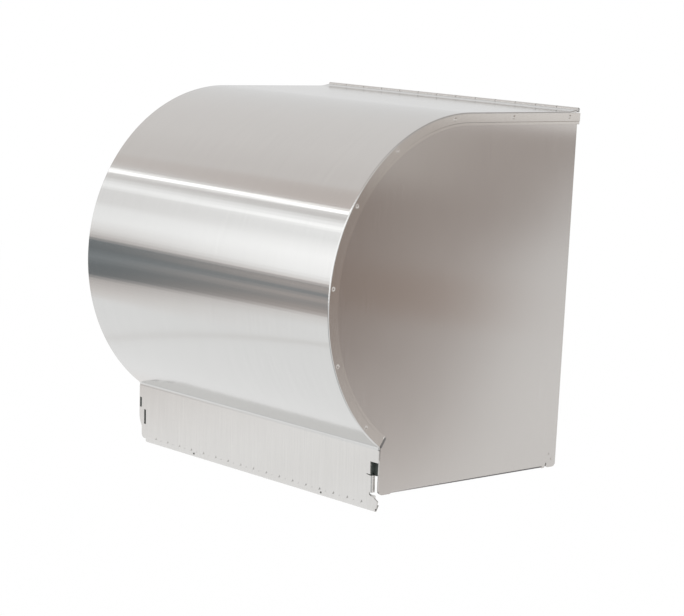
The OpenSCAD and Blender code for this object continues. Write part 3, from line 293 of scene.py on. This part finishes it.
def trace(name, points):
    """A wire through the points: one vertex, extruded from point to point. It is left in edit mode."""
    deselect()
    bpy.ops.mesh.primitive_plane_add(size=MM, location=points[0])
    piece = bpy.context.object
    piece.name = name
    bpy.ops.object.transform_apply(location=True)
    bpy.ops.object.mode_set(mode="EDIT")
    bpy.ops.mesh.select_mode(type="VERT")
    bpy.ops.mesh.merge(type="CENTER")
    for start, end in zip(points, points[1:]):
        step = Vector(end) - Vector(start)
        bpy.ops.mesh.extrude_vertices_move(TRANSFORM_OT_translate={"value": step})
    return piece


def plate(name, points):
    """A flat face inside the closed line through the points."""
    piece = trace(name, points)
    bpy.ops.mesh.select_all(action="SELECT")
    bpy.ops.mesh.edge_face_add()
    return piece


def choose(kind, test):
    """In edit mode, selects the verts, edges or faces whose middle passes the test."""
    bpy.ops.mesh.select_mode(type={"verts": "VERT", "edges": "EDGE", "faces": "FACE"}[kind])
    bpy.ops.mesh.select_all(action="DESELECT")
    mesh = bmesh.from_edit_mesh(bpy.context.object.data)
    for item in getattr(mesh, kind):
        corners = [item] if kind == "verts" else item.verts
        middle = sum((v.co for v in corners), Vector()) / len(corners)
        if test(middle / MM):
            item.select_set(True)
    mesh.select_flush_mode()
    bmesh.update_edit_mesh(bpy.context.object.data)


def push(x, y, z):
    bpy.ops.mesh.extrude_region_move(TRANSFORM_OT_translate={"value": (x * MM, y * MM, z * MM)})


def bend(degrees, centre, axis, steps=6):
    """Rolls the selected edge round an axis, as a press brake bends a flange. Spin is left-handed."""
    centre = [c * MM for c in centre]
    bpy.ops.mesh.spin(steps=steps, angle=-math.radians(degrees), center=centre, axis=axis)


def finish_modifier(piece, kind, **settings):
    modifier = piece.modifiers.new(kind.lower(), kind)
    for name, value in settings.items():
        setattr(modifier, name, value)
    bpy.ops.object.modifier_apply(modifier=modifier.name)


def punch(kind, at, **sizes):
    """A closed shape, sizes in mm, to be cut out of a sheet."""
    deselect()
    getattr(bpy.ops.mesh, f"primitive_{kind}_add")(location=[c * MM for c in at], **sizes)
    bpy.ops.object.transform_apply(location=True, rotation=True, scale=True)
    return bpy.context.object


def thicken(piece, thickness, outward, edge=0.25, segments=2, smooth=35, cutters=()):
    """Turns the sheet's faces outwards, thickens it inwards, punches it and breaks its edges."""
    only(piece)
    bpy.ops.object.mode_set(mode="EDIT")
    bpy.ops.mesh.select_all(action="SELECT")
    bpy.ops.mesh.remove_doubles(threshold=0.001 * MM)
    bpy.ops.mesh.normals_make_consistent(inside=False)
    bpy.ops.object.mode_set(mode="OBJECT")
    face = max(piece.data.polygons, key=lambda f: f.area)
    if face.normal.dot(Vector(outward)) < 0:
        bpy.ops.object.mode_set(mode="EDIT")
        bpy.ops.mesh.select_all(action="SELECT")
        bpy.ops.mesh.flip_normals()
        bpy.ops.object.mode_set(mode="OBJECT")
    only(piece)
    finish_modifier(piece, "SOLIDIFY", thickness=thickness * MM, offset=-1, use_even_offset=True)
    for cutter in cutters:
        finish_modifier(piece, "BOOLEAN", operation="DIFFERENCE", solver="EXACT", object=cutter)
        bpy.data.objects.remove(cutter)
    if edge:
        finish_modifier(piece, "BEVEL", width=edge * MM, segments=segments, limit_method="ANGLE",
                        angle_limit=math.radians(50))
    bpy.ops.object.shade_smooth_by_angle(angle=math.radians(smooth))
    finish_modifier(piece, "WEIGHTED_NORMAL", keep_sharp=True, weight=100)


def hand_over(piece, body, slot, material, *nodes):
    """The finished piece moves with its body and stands for its CAD nodes."""
    piece.data.name = piece.name
    piece.data.materials.clear()
    piece.data.materials.append(material)
    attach(piece, body)
    if nodes:
        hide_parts(*nodes)


BACK_HALF, BACK_TOP, BACK_LOW = 125.7, 121.8, -130.17
BACK_FLANGE, BACK_BEND = 13, 2
SCREW_X, SCREW_Z, SCREW_R = 90, 75, 3.25
mill_finish = sheet_metal("mill_finish_sheet", "#C9C8C5", 0.34)
foot = BACK_LOW + BACK_BEND
outline = [(-BACK_HALF, BACK_TOP), (BACK_HALF, BACK_TOP), (BACK_HALF, foot), (-BACK_HALF, foot)]
piece = plate("back_wall", [Vector((x, 0, z)) * MM for x, z in outline])
choose("edges", lambda m: abs(m.z - foot) < 0.01 and abs(m.x) < 1)
bend(-90, (0, -BACK_BEND, foot), (1, 0, 0))
choose("edges", lambda m: abs(m.z - BACK_LOW) < 0.01 and abs(m.x) < 1)
push(0, BACK_BEND - BACK_FLANGE, 0)
bpy.ops.object.mode_set(mode="OBJECT")
screws = [punch("cylinder", (x, 0, z), vertices=48, radius=SCREW_R * MM, depth=8 * MM,
                rotation=(math.pi / 2, 0, 0)) for x in (-SCREW_X, SCREW_X) for z in (-SCREW_Z, SCREW_Z)]
thicken(piece, 1.2, (0, 1, 0), cutters=screws)
hand_over(piece, "cabinet", "stainless_back", mill_finish, "back_plate")


# Side panels: 1.2 mm satin sheet, cut to the cover's curve, with a flange turned inwards along
# the bottom. Grinding with a round pad leaves them duller than the cover. The left panel's
# lower front corner is cut back, so that the lever's closed left end can swing in.
def arc(from_degrees, to_degrees, radius, steps):
    """Points round the cover's centre, from the top over the front: y and z in mm."""
    turns = [math.radians(from_degrees + (to_degrees - from_degrees) * i / steps)
             for i in range(steps + 1)]
    return [(CENTRE_Y - radius * math.sin(a), CENTRE_Z + radius * math.cos(a)) for a in turns]


PANEL_X, PANEL_T = 127, 1.2
PANEL_LOW, PANEL_FRONT, PANEL_BACK = -130.6, -175.96, 0
PANEL_ROUND = 118.8
PANEL_CORNER = 4
LEFT_CUT = 6
FLANGE_TO, FLANGE_FRONT, FLANGE_END = 114, -164.5, -14
BEND_R = 2.0
TAB_R = 3
side_finish = sheet_metal("satin_side_sheet", "#CBC8C5", 0.16, grain=(2.2, 2.2, 0.06),
                          across=(0, 1, 0), contrast=0.03)
quarter = [math.radians(a) for a in range(0, 91, 15)]
for side, name, node in ((1, "side_wall_right", "side_panel_right"),
                         (-1, "side_wall_left", "side_panel_left")):
    x = PANEL_X * side
    front_turn = math.degrees(math.asin((CENTRE_Y - PANEL_FRONT) / PANEL_ROUND))
    outline = [(PANEL_BACK, CENTRE_Z + PANEL_ROUND)] + arc(0, 180 - front_turn, PANEL_ROUND, 84)
    front = PANEL_FRONT
    if side < 0:
        front += LEFT_CUT
        outline += [(PANEL_FRONT, -110), (PANEL_FRONT + 1, -114), (front, -120)]
    outline += [(front + PANEL_CORNER - PANEL_CORNER * math.cos(a),
                 PANEL_LOW + PANEL_CORNER - PANEL_CORNER * math.sin(a)) for a in quarter]
    outline += [(FLANGE_FRONT, PANEL_LOW), (FLANGE_FRONT, PANEL_LOW + BEND_R),
                (FLANGE_END, PANEL_LOW + BEND_R), (FLANGE_END, PANEL_LOW)]
    # A V notch, then the corner tab
    outline += [(-11.6, PANEL_LOW), (-9.8, PANEL_LOW + 4), (-8.6, PANEL_LOW + 0.6), (-8, PANEL_LOW)]
    outline += [(-TAB_R + TAB_R * math.sin(a), PANEL_LOW + TAB_R - TAB_R * math.cos(a)) for a in quarter]
    piece = plate(name, [Vector((x, y, z)) * MM for y, z in outline])
    choose("edges", lambda m: abs(m.z - PANEL_LOW - BEND_R) < 0.01
           and FLANGE_FRONT + 1 < m.y < FLANGE_END - 1)
    bend(90 * side, (x - BEND_R * side, 0, PANEL_LOW + BEND_R), (0, 1, 0))
    choose("edges", lambda m: abs(m.z - PANEL_LOW) < 0.01 and abs(abs(m.x) - PANEL_X + BEND_R) < 0.01)
    push((FLANGE_TO - PANEL_X + BEND_R) * side, 0, 0)
    bpy.ops.object.mode_set(mode="OBJECT")
    # Two small weld marks beside the corner tab
    marks = [punch("uv_sphere", (x + 0.8 * side, y, z), segments=24, ring_count=16, radius=1.2 * MM)
             for y, z in ((-7.2, -120.9), (-4.6, -124.8))]
    thicken(piece, PANEL_T, (side, 0, 0), cutters=marks)
    hand_over(piece, "cabinet", "stainless_side", side_finish, node)


# Piano hinge: two stainless strips with 13 knuckles rolled round a steel pin. The wall leaf is
# welded to the back plate, the cover leaf under the cover; only the barrel stands above it.
KNUCKLES, KNUCKLE_SPAN, KNUCKLE_GAP, LEAF_HALF = 13, 259.5, 0.45, 123.7
WALL_HALF = 129.62
HINGE_Y, HINGE_Z, KNUCKLE_R, LEAF_T = -2.4, 126.2, 1.5, 0.38
hinge_finish = sheet_metal("hinge_strip", "#D8D7D5", 0.26)
pitch = KNUCKLE_SPAN / KNUCKLES
for first, half, name, node, body in ((0, WALL_HALF, "wall_leaf", "hinge_leaf_wall", "cabinet"),
                                      (1, LEAF_HALF, "cover_leaf", "hinge_leaf_cover", "cover")):
    cuts = sorted({-half, -LEAF_HALF, LEAF_HALF, half}.union(
        -KNUCKLE_SPAN / 2 + i * pitch + d * KNUCKLE_GAP / 2
        for i in range(1, KNUCKLES) for d in (-1, 1)))
    if first:
        # The cover leaf lies flat, then rises to its knuckles' undersides
        path, turn = [(-17, 123.55), (-4.3, 123.55)], -58
        roll_to = 235
        outward = (0, 0, -1)
    else:
        # The wall leaf stands upright and leans back to its knuckles
        path, turn = [(-1.22, 108), (-1.22, 124.4)], -5
        roll_to = 290
        outward = (0, 1, 0)
    start = (HINGE_Y + KNUCKLE_R * math.cos(math.radians(turn)),
             HINGE_Z + KNUCKLE_R * math.sin(math.radians(turn)))
    piece = trace(name, [Vector((x, *path[1])) * MM for x in cuts])
    choose("edges", lambda m: abs(m.x) < LEAF_HALF)
    push(0, path[0][0] - path[1][0], path[0][1] - path[1][1])

    def own(m):
        """Every second knuckle is this leaf's."""
        count, rest = divmod(m.x + KNUCKLE_SPAN / 2, pitch)
        return int(count) % 2 == first and abs(rest - pitch / 2) < pitch / 2 - KNUCKLE_GAP

    choose("edges", lambda m: own(m) and abs(m.y - path[1][0]) < 0.01 and abs(m.z - path[1][1]) < 0.01)
    push(0, start[0] - path[1][0], start[1] - path[1][1])
    choose("edges", lambda m: own(m) and abs(m.y - start[0]) < 0.01 and abs(m.z - start[1]) < 0.01)
    bend(roll_to - turn, (0, HINGE_Y, HINGE_Z), (1, 0, 0), steps=26)
    bpy.ops.object.mode_set(mode="OBJECT")
    thicken(piece, LEAF_T, outward, edge=0.08, segments=1)
    hand_over(piece, body, "stainless_hinge", hinge_finish, node)


# Cover: one 1 mm stainless sheet, flat on top and rolled round over the front with its
# grain running over the curve, its edges deburred.
COVER_HALF = 130
COVER_TOP, COVER_ROUND = 125, -110.17
COVER_R = 122
COVER_END = 144.4
COVER_LOW = -98.3
cover_finish = sheet_metal("satin_cover_sheet", "#D5D5D4", 0.12, contrast=0.03)
# The back edge rises a little, to cover the hinge's front
BACK_RISE = [(-4.05, 126.45), (-5.5, 126.15), (-8, 125.6), (-11, 125.15), (-14, COVER_TOP)]
piece = trace("cover_skin", [Vector((x, *BACK_RISE[0])) * MM for x in (-COVER_HALF, COVER_HALF)])
for (y0, z0), (y1, z1) in zip(BACK_RISE, BACK_RISE[1:] + [(COVER_ROUND, COVER_TOP)]):
    choose("edges", lambda m: abs(m.y - y0) < 0.01)
    push(0, y1 - y0, z1 - z0)
choose("edges", lambda m: abs(m.y - COVER_ROUND) < 0.01)
bend(COVER_END, (0, COVER_ROUND, CENTRE_Z), (1, 0, 0), steps=145)
# The lower edge turns down in line with the lever's plate
TURN_Y, TURN_Z, TURN = -182.47, -97.99, 54.4
end_y, end_z = arc(COVER_END, 0, COVER_R, 1)[0]
choose("edges", lambda m: abs(m.y - end_y) < 0.05 and abs(m.z - end_z) < 0.01)
bend(-TURN, (0, TURN_Y, TURN_Z), (1, 0, 0), steps=10)
choose("edges", lambda m: m.z < TURN_Z + 0.01 and abs(abs(m.x) - COVER_HALF) > 1)
push(0, 0, COVER_LOW - TURN_Z)
bpy.ops.object.mode_set(mode="OBJECT")
thicken(piece, 1.0, (0, 0, 1), edge=0)
# The sheet's outer side edges are rolled over to the rims; the first half of the sheet's points
# are those of its outer face
SIDE_ROLL = 0.85
corners = piece.data.vertices
weights = piece.data.attributes.new("bevel_weight_edge", "FLOAT", "EDGE")
for edge in piece.data.edges:
    start, end = (corners[v].co / MM for v in edge.vertices)
    if min(abs(start.x), abs(end.x)) > COVER_HALF - 0.01 and max(edge.vertices) < len(corners) / 2:
        weights.data[edge.index].value = 1
finish_modifier(piece, "BEVEL", width=SIDE_ROLL * MM, segments=6, limit_method="WEIGHT",
                use_clamp_overlap=False)
bpy.ops.object.shade_smooth_by_angle(angle=math.radians(35))
finish_modifier(piece, "WEIGHTED_NORMAL", keep_sharp=True, weight=100)
hand_over(piece, "cover", "stainless_cover", cover_finish, "cover_sheet")
# A cheek closes each end of the rise
CHEEK_X = 129.6
for side, name in ((1, "cover_cheek_right"), (-1, "cover_cheek_left")):
    under = [(-14, 124), (-4.3, 124), (-4.3, 125.6), (-5.5, 125.15), (-8, 124.6), (-11, 124.2)]
    cheek = plate(name, [Vector((CHEEK_X * side, y, z)) * MM for y, z in under])
    bpy.ops.object.mode_set(mode="OBJECT")
    thicken(cheek, 0.8, (side, 0, 0), edge=0.05)
    hand_over(cheek, "cover", "stainless_cover", cover_finish)


# Cover rims: channel strips bent from 1 mm sheet with a step along the inner edge, rolled
# to the cover's curve and spot welded under it. The welding tips leave a shallow dimple every
# 49 to 57 mm, and a tab, bent in towards the panel, closes its lower end.
RIM_BACK, RIM_FLAT = -0.6, 109.6
RIM_END = 144.95
TAB_OUT, TAB_IN, TAB_TURN = 130, 128.1, 1.9
TAB_R_OUT, TAB_R_IN = 120.6, 113.3
WELDS = [12, 69, 126, 182, 231, 287, 339, 391]
WELD_R, WELD_TIP, WELD_DEPTH = 118.6, 5, 0.25
rim_finish = sheet_metal("satin_rim_strip", "#D2CFCB", 0.17, grain=(2.2, 2.2, 0.06),
                         across=(0, 1, 0))
section = [(124, 121), (130, 121), (130, 115.3), (129.85, 115.1), (129.6, 115), (129.6, 113),
           (127.4, 113)]
for side, name, node in ((1, "rim_channel_right", "cover_rim_right"),
                         (-1, "rim_channel_left", "cover_rim_left")):
    piece = trace(name, [Vector((x * side, RIM_BACK, CENTRE_Z + r)) * MM for x, r in section])
    choose("edges", lambda m: True)
    push(0, -RIM_FLAT, 0)
    choose("edges", lambda m: abs(m.y - CENTRE_Y) < 0.01)
    bend(RIM_END, (0, CENTRE_Y, CENTRE_Z), (1, 0, 0), steps=145)
    bpy.ops.object.mode_set(mode="OBJECT")
    welds = []
    for run in WELDS:
        turn = math.degrees((run + CENTRE_Y) / WELD_R)
        y, z = arc(turn, 0, WELD_R, 1)[0] if turn > 0 else (-run, CENTRE_Z + WELD_R)
        welds.append(punch("uv_sphere", ((COVER_HALF + WELD_TIP - WELD_DEPTH) * side, y, z),
                           segments=96, ring_count=64, radius=WELD_TIP * MM))
    thicken(piece, 1.0, (side, 0, 0), edge=0.05, segments=1, smooth=12, cutters=welds)
    hand_over(piece, "cover", "stainless_cover", rim_finish, node)
    tab_start, tab_end = RIM_END - 0.1, RIM_END + TAB_TURN
    corners = [(TAB_OUT, tab_start, TAB_R_OUT), (TAB_OUT, tab_start, TAB_R_IN),
               (TAB_IN, tab_end, TAB_R_IN), (TAB_IN, tab_end, TAB_R_OUT)]
    tab = plate(name.replace("channel", "end_tab"), [
        Vector((x * side, *arc(turn, 0, radius, 1)[0])) * MM for x, turn, radius in corners])
    bpy.ops.object.mode_set(mode="OBJECT")
    thicken(tab, 0.8, (side, 0, 0), edge=0.05)
    hand_over(tab, "cover", "stainless_cover", rim_finish)


# Push lever: 1 mm stainless plate, leaning back a little. Its right end has a notch for the
# arm, a flange bent back from a slit and a lip folded forwards; the left end is closed, with two
# slots. Coarse teeth are cut along its lower edge.
LEVER_TOP = (-180.264, -97.479)
LEAN = 2.2
LEVER_RISE = -0.93
TEETH_LOW, TOOTH_PITCH, TOOTH_FIRST, TOOTH_HALF = -40.3, 14, 2.5, 1.5
TOOTH_DEEP, TOOTH_SHALLOW, TOOTH_SECOND = 2.4, 1.2, 6.1
NOTCH_X, FLANGE_X, FLANGE_BEND, FLANGE_STRAIGHT = 122, 122.3, 1.5, 1.6
LIP_X, LIP_Z, LIP_FOLD = 120.6, -34.4, 1.2
lever_finish = sheet_metal("satin_lever_sheet", "#DEDDDB", 0.24)
teeth = []
for k in range(-8, 9):
    for at, deep in ((0, TOOTH_DEEP), (TOOTH_SECOND, TOOTH_SHALLOW)):
        middle = TOOTH_FIRST + TOOTH_PITCH * k + at
        if middle < LIP_X - 3:
            teeth += [(middle - TOOTH_HALF, TEETH_LOW), (middle, TEETH_LOW + deep),
                      (middle + TOOTH_HALF, TEETH_LOW)]
right_end = [
    (LIP_X - 1, TEETH_LOW), (126.8, -42.3), (129.6, -40.6), (129.6, -36.2), (124.6, -33.6),
    (122.8, -33.4), (121.7, -32.7), (121.4, -31.4), (FLANGE_X, -31.4), (FLANGE_X, -19.7),
    (118.6, -19.2), (118.6, -18.8), (NOTCH_X, -19.0), (NOTCH_X, -10), (129.8, -10),
    (129.8, LEVER_RISE - 0.7), (129.1, LEVER_RISE)]
left_end = [
    (-129.1, LEVER_RISE), (-129.8, LEVER_RISE - 0.7), (-129.9, -9), (-130, -14), (-130, -24),
    (-129.6, -27), (-128.7, -29.6), (-127.6, -31.2), (-127.2, -32.2), (-127.2, -38.4),
    (-126.6, -39.9), (-125.4, -40.9), (-123.6, -41.2), (-121.2, -40.6), (-119, TEETH_LOW)]
piece = plate("push_plate", [Vector((x, 0, z)) * MM for x, z in teeth + right_end + left_end])
bpy.ops.mesh.bisect(plane_co=(LIP_X * MM, 0, 0), plane_no=(1, 0, 0))
choose("faces", lambda m: m.x > LIP_X)
bpy.ops.mesh.bisect(plane_co=(0, 0, LIP_Z * MM), plane_no=(0, 0, 1))
choose("verts", lambda m: m.x > LIP_X + 2 and m.z < -40)
bpy.ops.transform.translate(value=(0, -LIP_FOLD * MM, 0))
choose("edges", lambda m: abs(m.x - FLANGE_X) < 0.01 and -31 < m.z < -20)
bend(90, (FLANGE_X, FLANGE_BEND, 0), (0, 0, 1))
choose("edges", lambda m: abs(m.x - FLANGE_X - FLANGE_BEND) < 0.01 and abs(m.y - FLANGE_BEND) < 0.01)
push(0, FLANGE_STRAIGHT, 0)
bpy.ops.object.mode_set(mode="OBJECT")
slots = [punch("cube", (-128.2, 0.5, -14), size=MM, scale=(2.2, 3, 7.4)),
         punch("cube", (-123.2, 0.5, -24.5), size=MM, scale=(2.1, 3, 11))]
thicken(piece, 1.0, (0, -1, 0), edge=0.08, cutters=slots)


def lean(piece):
    """Puts a piece that was made upright into the lever's place."""
    only(piece)
    piece.matrix_world = (Matrix.Translation(Vector((0, LEVER_TOP[0], LEVER_TOP[1])) * MM)
                          @ Matrix.Rotation(math.radians(LEAN), 4, "X"))
    bpy.ops.object.transform_apply(location=True, rotation=True)


lean(piece)
hand_over(piece, "lever", "stainless_lever", lever_finish, "lever_plate")


# Tear blade: a 0.6 mm stainless strip folded to a V behind the teeth and riveted on. It closes
# the gaps between the teeth from behind and stiffens the plate.
STRIP = [(1.05, -33), (1.05, -43.2), (1.2, -43.75), (1.6, -44.15), (2.15, -44.3), (2.7, -44.15),
         (3.1, -43.7), (5, -40.4)]
STRIP_LEFT, STRIP_RIGHT, STRIP_T = -123.6, 126.2, 0.6
piece = trace("tear_strip", [Vector((STRIP_LEFT, y, z)) * MM for y, z in STRIP])
choose("edges", lambda m: True)
push(STRIP_RIGHT - STRIP_LEFT, 0, 0)
bpy.ops.object.mode_set(mode="OBJECT")
corner = punch("cube", (STRIP_LEFT, 3, -46), size=MM, scale=(22, 9, 4),
               rotation=(0, math.radians(12), 0))
RIVET_X, RIVET_Z, RIVET_R = (-66, 72.5), -41.9, 0.8
holes = [punch("cylinder", (x, 1, RIVET_Z), vertices=24, radius=RIVET_R * MM, depth=3 * MM,
               rotation=(math.pi / 2, 0, 0)) for x in RIVET_X]
thicken(piece, STRIP_T, (0, -1, 0), edge=0.12, cutters=[corner] + holes)
lean(piece)
hand_over(piece, "lever", "stainless_lever", lever_finish, "tear_blade")


# Lever arms, sector and mechanism plates: punched steel with a dark zinc plating, which is dull
# grey with a green cast. Its darkness is partly painted shade: the colour also stands for the
# shade seen in the lever's notch and slots.
def carry(node, material):
    """Gives a CAD node its finish."""
    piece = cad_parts[node]
    piece.data.materials.clear()
    piece.data.materials.append(material)


def plated(name, code, roughness, metallic):
    material, tree = new_material(name)
    place = add(tree, "ShaderNodeTexCoord").outputs["Object"]
    clouds = add(tree, "ShaderNodeTexNoise", {"Vector": place, "Scale": 160.0, "Detail": 4.0})
    tone = ranged(tree, clouds.outputs["Fac"], 0.3, 0.7, 0.85, 1.15)
    bump = add(tree, "ShaderNodeBump", {
        "Height": clouds.outputs["Fac"], "Strength": 0.1, "Distance": 0.05 * MM})
    steel = add(tree, "ShaderNodeBsdfPrincipled", {
        "Base Color": tinted(tree, code, tone), "Metallic": metallic, "Roughness": roughness,
        "Normal": bump.outputs[0]})
    add(tree, "ShaderNodeOutputMaterial", {"Surface": steel.outputs[0]})
    return material


# Partly the plating's own colour and partly painted shade for the parts seen in the notch and slots
dark_zinc_and_shade = plated("dark_zinc_plating_and_painted_shade", "#565C59", 0.45, 0.6)
for node in ("lever_arm_left", "lever_arm_right", "sector_gear", "feed_plate_left", "feed_plate_right"):
    carry(node, dark_zinc_and_shade)
# Painted shade: a dark plate behind the plate's closed left end shows through its slots, and a
# dark plate in front of the right mechanism plate fills the lever's notch, where there is shade
shade_backing = plate("shade_backing_left", [Vector((x, 1.05, z)) * MM for x, z in (
    (-122, -9.4), (-129.4, -9.4), (-129.4, -25), (-128.2, -29), (-126.6, -31), (-122, -31))])
bpy.ops.object.mode_set(mode="OBJECT")
thicken(shade_backing, 0.8, (0, -1, 0), edge=0.15)
lean(shade_backing)
hand_over(shade_backing, "lever", "zinc_steel", dark_zinc_and_shade)
# Painted shade: the dark plate filling the right notch stands for the shade there
shade_filler = plate("shade_filler_right", [Vector((x, -175.8, z)) * MM for x, z in (
    (119.4, -105), (125.7, -105), (125.7, -116.6), (124.7, -117.6), (120.4, -117.6), (119.4, -116.6))])
bpy.ops.object.mode_set(mode="OBJECT")
thicken(shade_filler, 0.8, (0, -1, 0), edge=0.15)
hand_over(shade_filler, "cabinet", "zinc_steel", dark_zinc_and_shade)
dull_zinc = plated("hot_dip_zinc", "#B4B7B8", 0.42, 0.9)
for node in ("paper_guide", "roll_arm_left", "roll_arm_right", "arm_bracket"):
    carry(node, dull_zinc)
turned = plated("turned_steel", "#C4C4C4", 0.28, 1.0)
for node in ("hinge_pin", "blade_rivets", "lever_shaft", "spring_peg_arm", "spring_peg_plate",
             "sector_rivets", "drive_shaft", "tie_rods", "pinch_axle", "arm_pin", "hub_pin_left",
             "hub_pin_right", "arm_rivets"):
    carry(node, turned)
drawn = plated("spring_wire", "#A2A4A6", 0.3, 1.0)
for node in ("lever_spring", "shaft_clips", "pinch_springs", "arm_spring"):
    carry(node, drawn)


# Moulded pieces: bushes, pinion, blocks, spring seat, hubs and pinch roller are nylon, pushed or
# clipped into place; the drive roller's sleeves and the clips under the cover are rubber.
def moulded(name, code, roughness, grain_mm):
    material, tree = new_material(name)
    place = add(tree, "ShaderNodeTexCoord").outputs["Object"]
    skin = add(tree, "ShaderNodeTexNoise", {
        "Vector": place, "Scale": 1 / (grain_mm * MM), "Detail": 2.0}).outputs["Fac"]
    bump = add(tree, "ShaderNodeBump", {"Height": skin, "Strength": 0.25, "Distance": 0.05 * MM})
    plastic = add(tree, "ShaderNodeBsdfPrincipled", {
        "Base Color": tinted(tree, code, ranged(tree, skin, 0.0, 1.0, 0.95, 1.05)),
        "Roughness": roughness, "Normal": bump.outputs[0]})
    add(tree, "ShaderNodeOutputMaterial", {"Surface": plastic.outputs[0]})
    return material


black_nylon = moulded("black_nylon", "#2B2B2B", 0.45, 0.5)
white_nylon = moulded("white_nylon", "#ECEAE3", 0.4, 0.5)
black_rubber = moulded("black_rubber", "#1E1E1E", 0.7, 0.4)
grey_rubber = moulded("grey_rubber", "#4A4A49", 0.75, 0.4)
for node in ("lever_bushes", "pinch_blocks"):
    carry(node, black_nylon)
for node in ("drive_pinion", "shaft_bushes", "pinch_roller", "spring_seat", "core_hub_left",
             "core_hub_right"):
    carry(node, white_nylon)
carry("cover_bumpers", black_rubber)
carry("feed_sleeves", grey_rubber)
